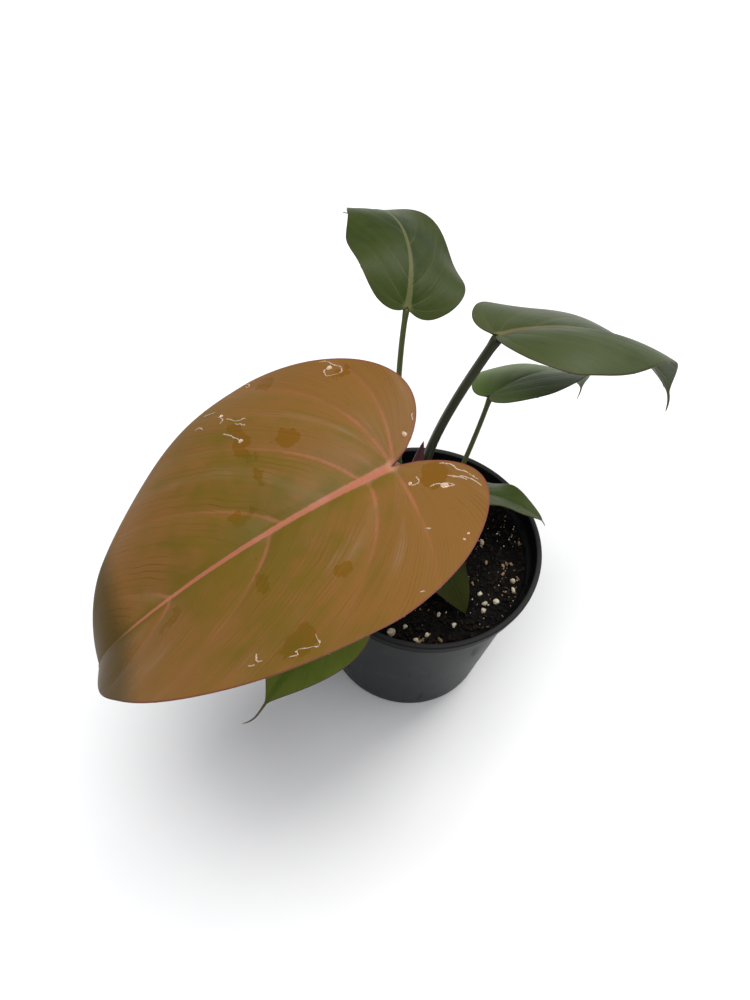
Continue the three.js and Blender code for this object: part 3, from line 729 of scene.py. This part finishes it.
def relief(name, half, flat):
    """Height of the upper side over the plain sheet: veins lie in grooves and the skin between
    them is puffed; both fade out at the midrib and towards the margin. Also gives the vein and
    rib fields, distances in half widths of the vein, and the distance from the margin in mm."""
    leaf = LEAVES[name]
    length, scale = leaf["size"][0], blade_scale(name)
    groove_depth, rib_factor = (0.8, 1) if name == "front" else (0.4, 1.8)
    edge, _ = distance_to(flat, half_outline(leaf, half), 500)
    vein = np.full(flat.shape[:-1], 1e3)
    groove = np.zeros(flat.shape[:-1])
    for line in side_vein_lines(name, half):
        d, share = distance_to(flat, line)
        vein = np.minimum(vein, d / (scale * (0.8 - 0.5 * share)))
        depth = np.exp(-(d / (2.0 * scale)) ** 2) * 0.4 + np.exp(-(d / (8 * scale)) ** 2) * 0.75
        groove = np.maximum(groove, depth * (1 - share) ** 0.5 * groove_depth)
    t = np.clip(flat[..., 0] / length, 0, 1)
    rib_width = scale * (1.95 - 1.62 * t ** 0.5) * rib_factor
    rib = flat[..., 1] / rib_width + 3 * np.clip(-flat[..., 0] / rib_width, 0, None)
    fade = smooth(flat[..., 1] / (3 * scale)) * smooth(edge / (5 * scale))
    channel = 0.35 * np.exp(-(flat[..., 1] / (2.6 * scale)) ** 2) * (1 - t)
    return scale * (-groove * fade - channel), vein, rib, edge


def bend_up(leaf, half, flat, lift):
    """Bends flat places into space, lifted off the sheet by lift mm.

    The midrib's pitch, heading and roll change along its length, and its points come from adding
    up its direction. Across, each half is an arc of a circle, and the margin waves as a sine.
    """
    length, width = leaf["size"]
    heading, pitch, roll = leaf["aim"]
    droop, swing, twist, hook, hook_swing = leaf["bend"]
    x = np.linspace(-0.5, 1, 400) * length
    t = x / length
    tip = smooth((t - 0.85) / 0.15)
    up = np.radians(pitch + droop * np.maximum(t, 0) + leaf["lobe_bend"] * np.minimum(t, 0) + hook * tip)
    turn = np.radians(heading + swing * t + hook_swing * tip)
    bank = np.radians(roll + twist * t)[:, None]
    along = np.stack([np.cos(up) * np.cos(turn), np.cos(up) * np.sin(turn), np.sin(up)], axis=-1)
    left = np.stack([-np.sin(turn), np.cos(turn), 0 * turn], axis=-1)
    top = np.cross(along, left)
    left, top = np.cos(bank) * left + np.sin(bank) * top, np.cos(bank) * top - np.sin(bank) * left
    rib = np.cumsum(np.vstack([[0, 0, 0], (along[1:] + along[:-1]) / 2 * (x[1] - x[0])]), axis=0)
    rib -= [np.interp(0, x, rib[:, k]) for k in range(3)]
    at = lambda chain: np.stack([np.interp(flat[..., 0], x, chain[:, k]) for k in range(3)], axis=-1)
    fold, recurve = np.radians(leaf["fold"][half]), np.radians(leaf["recurve"][half])
    out = flat[..., 1] / width
    across = width / recurve * (np.sin(fold) - np.sin(fold - recurve * out))
    rise = width / recurve * (np.cos(fold - recurve * out) - np.cos(fold))
    wave, *phases = leaf["wave"]
    rise = rise + wave * out ** 2 * np.sin(3 * np.pi * flat[..., 0] / length + np.radians(phases[half]))
    side = 1 if half == 0 else -1
    joint = np.array(leaf["at"]) + [0, 0, MIX_TOP]
    return joint + at(rib) + side * across[..., None] * at(left) + (rise + lift)[..., None] * at(top)


def vein_rows(name, half):
    """A grid of (u, v) whose rows close up at each main side vein, so that one row lies on it."""
    leaf = LEAVES[name]
    ends = [(0, 0), *SIDE_VEINS.get(name, SIDE_VEINS["other"])[half], (1, 1)]
    u = np.linspace(0, 1, leaf["columns"])
    u = u - 0.06 * np.sin(2 * np.pi * u) / np.pi
    rows = []
    for (a, b), (c, d) in zip(ends, ends[1:]):
        count = max(int(leaf["rows"] * (c + d - a - b) / 2), 6)
        share = np.linspace(0, 1, count + 1)[:-1, None]
        share = share - 0.55 * np.sin(2 * np.pi * share) / (2 * np.pi)
        low, high = a + (b - a) * u, c + (d - c) * u
        rows.append(low + (high - low) * share)
    rows.append(np.ones((1, len(u))))
    v = np.concatenate(rows)
    return np.broadcast_to(u, v.shape), v


def blade_parts(name, films=()):
    """Upper and under side, margin and notch edge of both halves, with UV maps and attributes."""
    leaf, scale = LEAVES[name], blade_scale(name)
    length = leaf["size"][0]
    parts, maps, fields = [], {"rays": [], "flat": []}, {}
    for half, side in ((0, 1), (1, -1)):
        u, v = vein_rows(name, half)
        flat = lay_flat(leaf, half, u, v)
        height, vein, rib, edge = relief(name, half, flat)
        t = np.clip(flat[..., 0] / length, 0, 1)
        ridge = 1.4 * scale * (1 - t) * np.exp(-(flat[..., 1] / (2.2 * scale + 0.4)) ** 2)
        ridge = ridge + 0.5 * scale * np.exp(-(vein / 1.6) ** 2) * smooth(rib / 3)
        thick = 0.34 + 0.2 * smooth(edge / 6) + ridge
        upper = bend_up(leaf, half, flat, height)
        under = bend_up(leaf, half, flat, height - thick)
        film = np.full(u.shape, -9.0)
        for cx, cy, rx, ry in films:
            d = np.hypot((flat[..., 0] - cx) / rx, (side * flat[..., 1] - cy) / ry)
            film = np.maximum(film, (1 - d) * min(rx, ry))
        ray_map = np.stack([side * u, v], axis=-1)
        flat_map = flat * [0.01, 0.01 * side]
        facts = dict(vein=vein, rib=rib, edge=edge, along=flat[..., 0] / length, film=film)
        rows, columns = u.shape
        for points, below, flip in ((upper, 0, half == 0), (under, 1, half == 1)):
            parts.append((points.reshape(-1, 3), grid_faces(rows, columns, flip)))
            maps["rays"].append(ray_map.reshape(-1, 2))
            maps["flat"].append(flat_map.reshape(-1, 2))
            for key, value in dict(facts, below=np.full(u.shape, below)).items():
                fields.setdefault(key, []).append(value.ravel())
        for pick, flip in ((np.s_[:, -1], half == 0), (np.s_[0, :], half == 1)):
            wall = np.stack([upper[pick], under[pick]])
            parts.append((wall.reshape(-1, 3), grid_faces(2, wall.shape[1], not flip)))
            maps["rays"].append(np.tile(ray_map[pick], (2, 1)))
            maps["flat"].append(np.tile(flat_map[pick], (2, 1)))
            for key, value in dict(facts, below=np.zeros(u.shape)).items():
                fields.setdefault(key, []).append(np.tile(value[pick], 2))
    uvs = {key: np.concatenate(value) for key, value in maps.items()}
    return parts, uvs, {key: np.concatenate(value) for key, value in fields.items()}


def leaf_group():
    """Shader group with the pattern of a leaf's skin, from the blade's own maps and attributes."""
    group = bpy.data.node_groups.new("leaf_skin_pattern", "ShaderNodeTree")
    sockets = {
        "Blade": "Color", "Blade Deep": "Color", "Flush": "Color", "Rib": "Color", "Margin": "Color",
        "Tip": "Color", "Under": "Color", "Joint": "Color", "Flush Share": "Float", "Rib Share": "Float",
        "Vein Share": "Float", "Fine Share": "Float", "Fine Lines": "Float", "Margin Width": "Float",
        "Tip Start": "Float", "Sheen And Dry Film Share": "Float", "Roughness": "Float",
    }
    for key, kind in sockets.items():
        group.interface.new_socket(key, in_out="INPUT", socket_type="NodeSocket" + kind)
    for key, kind in {"Color": "Color", "Roughness": "Float", "Height": "Float", "Film": "Float"}.items():
        group.interface.new_socket(key, in_out="OUTPUT", socket_type="NodeSocket" + kind)
    given = group.nodes.new("NodeGroupInput").outputs
    fact = lambda key: node(group, "Attribute", attribute_name=key).outputs["Fac"]
    times = lambda *values: math(group, "MULTIPLY", *values)
    plus = lambda *values: math(group, "ADD", *values)

    rays = node(group, "UVMap", uv_map="rays").outputs[0]
    flat = node(group, "UVMap", uv_map="flat").outputs[0]
    out, down = node(group, "SeparateXYZ", {0: rays}).outputs[:2]
    out = math(group, "ABSOLUTE", out)

    # Soft blotches, and streaks that run out with the side veins.
    cloud = grain(group, flat, 3.2, 4)
    patch = grain(group, flat, 9, 3)
    streaks = node(group, "Mapping", {"Vector": rays, "Scale": (1.6, 38, 1)}).outputs[0]
    streak = grain(group, streaks, 1, 3)
    mottle = grain(group, flat, 60, 4)

    # Fine side veins: dark hairlines at even steps of the margin, wavering and broken in places.
    waver = plus(times(down, given["Fine Lines"]), times(grain(group, flat, 6, 3), 1.6))
    lane = math(group, "PINGPONG", waver, 0.5)
    line = step(group, lane, 0.1, 0.01)
    faint = times(step(group, grain(group, streaks, 0.9, 2), 0.42, 0.62), step(group, patch, 0.3, 0.7))
    reach = times(step(group, out, 0.1, 0.45), step(group, fact("rib"), 0.9, 1.6))
    fine = times(times(line, plus(times(faint, 0.85), 0.15)), times(reach, given["Fine Share"]))
    second = step(group, math(group, "PINGPONG", plus(times(waver, 3), 0.7), 0.5), 0.22, 0.05)

    rib = step(group, plus(fact("rib"), times(plus(mottle, -0.5), 0.6)), 1.35, 0.7)
    halo = step(group, fact("rib"), 6, 0.5)
    vein = step(group, plus(fact("vein"), times(plus(mottle, -0.5), 1.2)), 1.45, 0.3)
    near = step(group, plus(fact("vein"), times(plus(streak, -0.5), 5)), 7, 0)
    broken = step(group, plus(patch, times(plus(streak, -0.5), 0.6)), 0.3, 0.62)
    end_fade = times(step(group, out, 0.9, 0.12), plus(times(broken, 0.7), 0.3))

    tone = mixed(group, step(group, plus(cloud, times(plus(streak, -0.5), 0.7)), 0.35, 0.68),
                 given["Blade"], given["Blade Deep"])
    ends_of_blade = times(math(group, "ABSOLUTE", plus(fact("along"), -0.42)), 1.1)
    flush = plus(times(halo, -0.35), plus(times(step(group, out, 0.0, 0.95), 0.3), times(patch, 0.8)))
    flush = plus(flush, plus(ends_of_blade, streak))
    flush = times(step(group, flush, 0.9, 1.5), given["Flush Share"])
    tone = mixed(group, flush, tone, given["Flush"])
    second = times(step(group, second, 0, 1), times(given["Fine Share"], 0.22))
    tone = mixed(group, second, tone, given["Blade Deep"])
    tone = mixed(group, times(near, times(given["Vein Share"], 0.14)), tone, given["Rib"])
    tone = mixed(group, times(times(vein, end_fade), given["Vein Share"]), tone, given["Rib"])
    dark = node(group, "HueSaturation", {"Value": 0.55, "Saturation": 1.1, "Color": tone}).outputs[0]
    tone = mixed(group, fine, tone, dark)
    tone = mixed(group, times(rib, given["Rib Share"]), tone, given["Rib"])
    centre = node(group, "VectorMath", {0: flat}, operation="LENGTH").outputs["Value"]
    tone = mixed(group, times(step(group, centre, 0.034, 0.012), 0.6), tone, given["Joint"])
    edge = step(group, fact("edge"), given["Margin Width"], 0)
    # Pale grey streaks: painted sheen where the blade would shine, and a dry film left by water.
    sheen_streak_map = node(group, "Mapping", {"Vector": rays, "Scale": (1.1, 14, 1)}).outputs[0]
    sheen_and_dry_film = times(step(group, grain(group, sheen_streak_map, 1, 5), 0.5, 0.8), step(group, cloud, 0.35, 0.75))
    pale = node(group, "HueSaturation", {"Value": 1.5, "Saturation": 0.7, "Color": tone}).outputs[0]
    tone = mixed(group, times(sheen_and_dry_film, given["Sheen And Dry Film Share"]), tone, pale)
    tone = mixed(group, edge, tone, given["Margin"])
    # The tip's colour: a brown tip of its own on the green leaves, and painted shade on the big leaf's tip,
    # which bends down away from the light.
    tip_end = plus(given["Tip Start"], 0.1)
    dry_and_shaded_tip = step(group, plus(fact("along"), times(plus(mottle, -0.5), 0.03)), given["Tip Start"], tip_end)
    tone = mixed(group, times(dry_and_shaded_tip, 0.8), tone, given["Tip"])

    # Water lies in thin films with ragged edges, and deepens the colour under them.
    ragged = plus(times(plus(patch, -0.5), 12), times(plus(grain(group, flat, 22, 3), -0.5), 8))
    film = times(step(group, plus(fact("film"), ragged), 0.15, 0.75), step(group, fact("below"), 1, 0))
    wet = node(group, "HueSaturation", {"Value": 0.83, "Saturation": 1.18, "Color": tone}).outputs[0]
    tone = mixed(group, times(film, 0.8), tone, wet)
    speckle = step(group, grain(group, flat, 260, 1), 0.72, 0.8)
    tone = mixed(group, times(speckle, 0.45), tone, dark)
    underside = mixed(group, times(cloud, 0.5), given["Under"], given["Blade Deep"])
    underside = mixed(group, times(math(group, "MAXIMUM", vein, rib), 0.35), underside, given["Rib"])
    tone = mixed(group, fact("below"), tone, underside)

    rough = plus(given["Roughness"], times(plus(cloud, -0.5), 0.25))
    rough = plus(rough, times(film, -0.14))
    height = plus(times(times(line, faint), -0.35), plus(times(mottle, 0.25), times(streak, 0.8)))
    height = plus(height, times(rib, -0.4))
    ends = group.nodes.new("NodeGroupOutput")
    for key, value in {"Color": tone, "Roughness": rough, "Height": height, "Film": film}.items():
        group.links.new(value, ends.inputs[key])
    return group


leaf_pattern = leaf_group()


def leaf_skin(name, coat, values):
    """A leaf's material: the shared pattern with this leaf's colours, and a waxy gloss."""
    made, tree, shader = new_material(name)
    pattern = tree.nodes.new("ShaderNodeGroup")
    pattern.node_tree = leaf_pattern
    for key, value in values.items():
        key = key.replace("_", " ").title()
        pattern.inputs[key].default_value = (*value, 1) if isinstance(value, tuple) else value
    set_inputs(tree, shader, {
        "Base Color": pattern.outputs["Color"], "Roughness": pattern.outputs["Roughness"],
        "Normal": bumped(tree, pattern.outputs["Height"], 0.00022, 0.8),
        "Coat Weight": plus(tree, times(tree, pattern.outputs["Film"], 0.2), coat),
        "Coat Roughness": 0.2, "Specular IOR Level": 0.1,
    })
    return made


# What the leaves share, and then each leaf's colours and shares. The low and the middle leaf are coloured
# lighter than their own green: painted light against the shade that other leaves cast on them.
GREEN = dict(
    margin=(0.05, 0.038, 0.02), under=(0.075, 0.1, 0.04), joint=(0.1, 0.11, 0.035), flush_share=0.85,
    sheen_and_dry_film_share=0.35, rib_share=0.8, vein_share=0.25, fine_share=0.25, margin_width=0.5, tip_start=2.0,
    roughness=0.44)
LEAF_TONES = {
    "soil": dict(
        blade=(0.021, 0.027, 0.003), blade_deep=(0.014, 0.019, 0.002), flush=(0.028, 0.032, 0.004),
        rib=(0.035, 0.04, 0.008), tip=(0.03, 0.02, 0.01), fine_lines=34),
    # Painted light: the low leaf's greens are lighter than its own, against the shade it lies in under the big
    # leaf.
    "low": dict(
        blade=(0.105, 0.16, 0.014), blade_deep=(0.07, 0.12, 0.009), flush=(0.15, 0.185, 0.026),
        rib=(0.09, 0.14, 0.012), tip=(0.17, 0.13, 0.105), margin=(0.14, 0.055, 0.04), tip_start=0.77,
        margin_width=0.7, fine_lines=44),
    "rim": dict(
        blade=(0.047, 0.073, 0.012), blade_deep=(0.032, 0.052, 0.008), flush=(0.062, 0.086, 0.02),
        rib=(0.065, 0.085, 0.025), tip=(0.05, 0.06, 0.02), fine_lines=38),
    # Painted light: the middle leaf's greens are lighter than its own, against the shade the right leaf casts
    # on it.
    "middle": dict(
        blade=(0.088, 0.145, 0.025), blade_deep=(0.06, 0.105, 0.016), flush=(0.11, 0.16, 0.034),
        rib=(0.11, 0.15, 0.05), tip=(0.09, 0.12, 0.03), fine_lines=54),
    "tall": dict(
        blade=(0.025, 0.04, 0.005), blade_deep=(0.015, 0.028, 0.0035), flush=(0.036, 0.048, 0.009),
        rib=(0.105, 0.105, 0.04), tip=(0.05, 0.06, 0.025), fine_lines=60),
    "right": dict(
        blade=(0.035, 0.051, 0.0125), blade_deep=(0.024, 0.038, 0.0085), flush=(0.048, 0.061, 0.019),
        rib=(0.13, 0.095, 0.045), tip=(0.045, 0.034, 0.028), tip_start=0.9, fine_lines=70, rib_share=0.85),
    # The big leaf's tip colour is painted shade: darker where the tip bends down, away from the light.
    "front": dict(
        blade=(0.136, 0.082, 0.009), blade_deep=(0.112, 0.075, 0.007), flush=(0.21, 0.088, 0.024),
        rib=(0.39, 0.125, 0.078), margin=(0.18, 0.045, 0.04), under=(0.2, 0.13, 0.05),
        tip=(0.05, 0.034, 0.005), joint=(0.36, 0.2, 0.1), tip_start=0.77, flush_share=0.7,
        vein_share=0.36, fine_share=0.8, fine_lines=84, margin_width=0.9, sheen_and_dry_film_share=0.75,
        roughness=0.42),
}
WAX = {"low": 0.03, "front": 0.02}  # weight of the clear coat where the upper side shines
# Films of water on the big leaf: centre and half widths in flat mm, left of the midrib positive.
WATER_FILMS = (
    (45, -47, 5, 4.5), (28, -30, 4, 5), (44, -31, 3.5, 11), (23, -63, 5, 4), (-11, 13, 6, 6), (97, 9, 6, 3),
    (56, -10, 5, 3), (59, 18, 2.5, 5), (55, 49, 6, 7), (34, 31, 4, 3), (-3, -44, 4, 3))

for name, tones in LEAF_TONES.items():
    front = name == "front"
    skin = leaf_skin(f"{name}_leaf_{'copper' if front else 'green'}", WAX.get(name, 0), GREEN | tones)
    parts, uvs, fields = blade_parts(name, WATER_FILMS if front else ())
    slot = "copper_leaf" if front else "green_leaf"
    blade = piece("leaf_" + name, parts, skin, slot, uvs=uvs, values=fields)
    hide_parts("blade_" + name)

# ---------------------------------------------------------------- leaf stalks
# Each stalk leaves the stem in a clasping foot, swings out and up, and ends in a small knuckle
# under the blade's joint. It is round, with a shallow groove on its upper side.
STALKS = {
    "soil": dict(node=0.1, side=-80, foot=1.2, tip=0.9, leave=(1, -5, 5), arrive=(1, -2, 4)),
    "low": dict(node=0.2, side=-125, foot=2, tip=1.2, leave=(-12, -18, 24), arrive=(-16, -20, 12)),
    "rim": dict(node=0.36, side=-25, foot=1.4, tip=1, leave=(4, -1, 5), arrive=(5, 2, 4)),
    "middle": dict(node=0.08, side=50, foot=1.9, tip=1.1, leave=(3, 8, 13), arrive=(3, 8, 26)),
    "tall": dict(node=0.6, side=140, foot=2.2, tip=1.3, leave=(-12, 8, 13), arrive=(1, 11, 23)),
    "right": dict(node=0.8, side=76, foot=3, tip=2.1, leave=(-5, 6.5, 22), arrive=(11, 9, 25)),
    "front": dict(node=0.86, side=-95, foot=3.2, tip=2.4, leave=(0, -8, 18), arrive=(-5, -20, 28)),
}
JOINT_DROP = 0.3  # from the sheet down to the end of the stalk's middle line
BURIED = 0.49  # share of the stem's middle line that stands in the mix
LAST_NODE = 0.97


def stalk_path(name):
    """Cubic Bezier from inside the stem's skin to just under the blade's joint, in mm."""
    stalk, leaf = STALKS[name], LEAVES[name]
    share = BURIED + (LAST_NODE - BURIED) * stalk["node"]
    bearing = np.radians(stalk["side"])
    outwards = np.array([np.cos(bearing), np.sin(bearing), 0])
    start = through(STEM_KNOTS, np.array([share]))[0] + outwards * (3.6 + 0.5 * stalk["foot"])
    joint = bend_up(leaf, 0, np.zeros((1, 2)), np.array([-JOINT_DROP - stalk["tip"] * 0.3]))[0]
    a, b = start + stalk["leave"], joint - stalk["arrive"]
    t = np.linspace(0, 1, 90)[:, None]
    return (1 - t) ** 3 * start + 3 * t * (1 - t) ** 2 * a + 3 * t ** 2 * (1 - t) * b + t ** 3 * joint


def stalk_outline(stalk):
    """Section: a circle that widens into the foot, with a groove, and a swollen end."""
    foot, tip = stalk["foot"], stalk["tip"]

    def outline(share, angle):
        radius = foot + (tip - foot) * np.minimum(share / 0.4, 1) ** 0.7
        radius = radius + 0.18 * tip * np.exp(-((share - 0.975) / 0.03) ** 2)
        radius = radius * round_end(share, 1.0, 0.012) * round_end(1 - share, 1.0, 0.012)
        groove = 1 - 0.16 * np.exp(-((angle - np.pi / 2) / 0.45) ** 2) * smooth((share - 0.1) / 0.2)
        clasp = 1 + 0.75 * (1 - np.clip(share / 0.28, 0, 1)) ** 1.5
        return radius * groove * np.cos(angle) * clasp, radius * groove * np.sin(angle)
    return outline


green_stalk = stalk_skin(
    "green_stalk_skin", (0.042, 0.05, 0.015), (0.08, 0.092, 0.032), (0.035, 0.028, 0.014), 0.45)
dark_stalk = stalk_skin(
    "dark_stalk_skin", (0.017, 0.019, 0.009), (0.032, 0.035, 0.017), (0.014, 0.011, 0.008), 0.42)
copper_stalk = stalk_skin(
    "copper_stalk_skin", (0.1, 0.045, 0.028), (0.17, 0.09, 0.05), (0.05, 0.02, 0.016), 0.4)
for name, stalk in STALKS.items():
    path = stalk_path(name)
    chord = path[-1] - path[0]
    side = np.cross(chord, path[len(path) // 2] - path[0])
    side = side / np.linalg.norm(side)
    side = side if np.dot(np.cross(side, chord), [0, 0, 1]) > 0 else -side
    points, faces, uv = swept(path, stalk_outline(stalk), side)
    skin = {"right": dark_stalk, "front": copper_stalk}.get(name, green_stalk)
    made = piece("stalk_of_" + name, [(points, faces)], skin, "leaf_stalk", uvs={"round": uv})
    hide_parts("stalk_" + name)

# ---------------------------------------------------------------- sheath
# The pointed maroon sheath that wraps the next leaf, standing at the top of the stem. It grows
# out of the stem's end and bows over to one side.
sheath_corner = np.array(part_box("sheath")[1]) / MM
sheath_foot = STEM_TOP + [0, 0, -1.5]
sheath_tip = sheath_corner - [1.0, 0.6, 0]
t = np.linspace(0, 1, 70)[:, None]
sheath_middle = sheath_foot + [-1, 2, 12]
sheath_path = (1 - t) ** 2 * sheath_foot + 2 * t * (1 - t) * sheath_middle + t ** 2 * sheath_tip


def sheath_outline(share, angle):
    """A pointed, slightly flattened section with two low keels along its back."""
    radius = 3.6 * (1 - share ** 2.4) + 0.1
    keel = 1 + 0.14 * np.exp(-((angle - 1.1) / 0.22) ** 2) + 0.14 * np.exp(-((angle - 2.0) / 0.22) ** 2)
    radius = radius * keel * round_end(share, 1.0, 0.02)
    return radius * np.cos(angle), 0.72 * radius * np.sin(angle)


sheath_skin = stalk_skin("sheath_skin", (0.035, 0.008, 0.01), (0.075, 0.022, 0.022), (0.05, 0.035, 0.02), 0.38)
points, faces, uv = swept(sheath_path, sheath_outline, np.array([0.9, 0.4, 0.1]))
sheath = piece("sheath_of_next_leaf", [(points, faces)], sheath_skin, "sheath_skin", uvs={"round": uv})
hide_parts("sheath")

# ---------------------------------------------------------------- water
# Clear drops, and the raised edges of drying films, left on the big leaf's upper side by watering.
# Each is a low bead that follows the sheet and dips a little into it.
water_skin, tree, shader = new_material("water_painted_bright")
ripple = grain(tree, node(tree, "TexCoord").outputs["Object"], 900, 2)
# The milky peach base colour, with only part of the light let through, is painted highlight: it makes the
# beads read as bright lines on the leaf.
set_inputs(tree, shader, {
    "Base Color": (0.95, 0.72, 0.55, 1), "Roughness": 0.12, "IOR": 1.33, "Transmission Weight": 0.6,
    "Normal": bumped(tree, ripple, 0.00012),
})


def on_blade(name, places, lift):
    """Points lift mm above the upper side at flat places, left of the midrib positive."""
    places = np.asarray(places, float)
    lift = np.broadcast_to(lift, places.shape[:-1])
    found = np.zeros(places.shape[:-1] + (3,))
    for half, side in ((0, 1), (1, -1)):
        flat = places * [1, side]
        flat[..., 1] = np.maximum(flat[..., 1], 0)
        mine = places[..., 1] * side >= 0
        height = relief(name, half, flat)[0]
        found[mine] = bend_up(LEAVES[name], half, flat, height + lift)[mine]
    return found


def water_line(name, knots, width, height, seed):
    """A bead of water along a curve through flat places; its width varies along its length."""
    knots = np.array(knots, float)
    count = int(np.linalg.norm(np.diff(knots, axis=0), axis=1).sum() / 0.35) + 8
    t = np.linspace(0, 1, count)
    wander = np.stack([t * 17 + seed, t * 0 + seed, t * 0], axis=-1)
    waver = np.stack([noise(wander, 1.3, 21), noise(wander + 9, 1.3, 22)], axis=-1)
    path = through(knots, t) + 0.25 * waver
    along = np.gradient(path, axis=0)
    across = np.stack([-along[:, 1], along[:, 0]], axis=-1) / np.linalg.norm(along, axis=1, keepdims=True)
    swell = (0.65 + 0.5 * noise(wander * 1.7, 1.0, 23)) * np.sqrt(np.clip(12 * t * (1 - t), 0.02, 1))
    angle = np.linspace(0, np.pi, 9)
    out = width / 2 * swell[:, None] * np.cos(angle)
    lift = height * swell[:, None] * np.sin(angle) - 0.02
    top = on_blade(name, path[:, None] + across[:, None] * out[..., None], lift)
    base = on_blade(name, path[:, None] + across[:, None] * out[:, ::-1, None], np.full(out.shape, -0.04))
    ring = np.concatenate([top, base], axis=1)
    ring = np.concatenate([ring, ring[:, :1]], axis=1)
    centre = ring.mean(axis=1, keepdims=True)
    grid = np.concatenate([np.broadcast_to(centre[:1], ring[:1].shape), ring,
                           np.broadcast_to(centre[-1:], ring[-1:].shape)])
    return grid.reshape(-1, 3), grid_faces(len(grid), ring.shape[1])


def water_drop(name, place, radius, height):
    """A domed drop with a flat foot: height times the root of 1 less the share squared."""
    share = np.array([0, 0.2, 0.4, 0.6, 0.75, 0.87, 0.95, 1, 1, 0])[:, None]
    angle = np.linspace(0, 2 * np.pi, 25)[None]
    uneven = 1 + 0.12 * np.cos(2 * angle + place[0]) + 0.06 * np.cos(3 * angle + place[1])
    r = radius * share * uneven
    places = np.stack([place[0] + r * np.cos(angle), place[1] + r * np.sin(angle)], axis=-1)
    lift = height * np.sqrt(1 - share ** 2) + 0 * angle
    lift[-2:] = -0.05
    return on_blade(name, places, lift).reshape(-1, 3), grid_faces(len(share), 25)


WATER_LINES = (
    ((0.5, -56), (-2, -54), (-3, -50.5), (-5, -47), (-3, -45), (2, -47), (1, -50), (-2.5, -49)),
    ((31, -71), (30, -71), (29, -69), (30.5, -68), (31, -70)),
    ((53.5, -65.5), (48, -63.5)), ((47.5, -59), (46, -55.5), (48, -54)),
    ((44.5, -54.5), (41.5, -50), (37.5, -48.5)), ((42.5, -49), (39, -45)),
    ((48.5, -47.5), (46, -44), (43.5, -39.5)), ((59, -60), (56.5, -59.5), (55.5, -57)),
    ((-5, 8.5), (-4.5, 11), (-3, 11.5), (-1, 10.5)),
    ((-6.5, 15), (-9, 15.5), (-12, 17), (-14, 19), (-12.5, 19), (-9.5, 17)),
    ((-14.5, 8), (-17.5, 10.5), (-18.5, 14), (-20.5, 17), (-22, 22)),
    ((-15, 15.5), (-18.5, 18), (-20.5, 21), (-21.5, 25)), ((-14, 14), (-17, 17), (-19, 20)),
    ((50, 49), (50.5, 54), (54, 52.5), (57, 51.5), (57.5, 53), (60.5, 52)),
    ((68.5, 44), (69, 47), (67.5, 48)), ((72, 47), (70, 48)),
    ((-17, -14), (-16, -13), (-15.5, -11.5)), ((4, 30.5), (2.5, 31)), ((18.5, 54), (17, 54.5)),
)
WATER_DROPS = (
    ((-10, -8.5), 1.0, 0.55), ((43.5, -39), 0.9, 0.5), ((-6.5, 40), 0.5, 0.35), ((-4, 41.5), 0.5, 0.3),
    ((-1, -50), 1.1, 0.4), ((46, -58), 0.8, 0.4), ((-1.5, 10), 0.7, 0.35), ((-11, 17.5), 1.3, 0.4),
)
BEAD_WIDTH, BEAD_HEIGHT = 0.75, 0.35
line_parts = [water_line("front", line, BEAD_WIDTH, BEAD_HEIGHT, k) for k, line in enumerate(WATER_LINES)]
drop_parts = [water_drop("front", *drop) for drop in WATER_DROPS]
piece("water_edges", line_parts, water_skin, "water")
piece("water_drops", drop_parts, water_skin, "water")
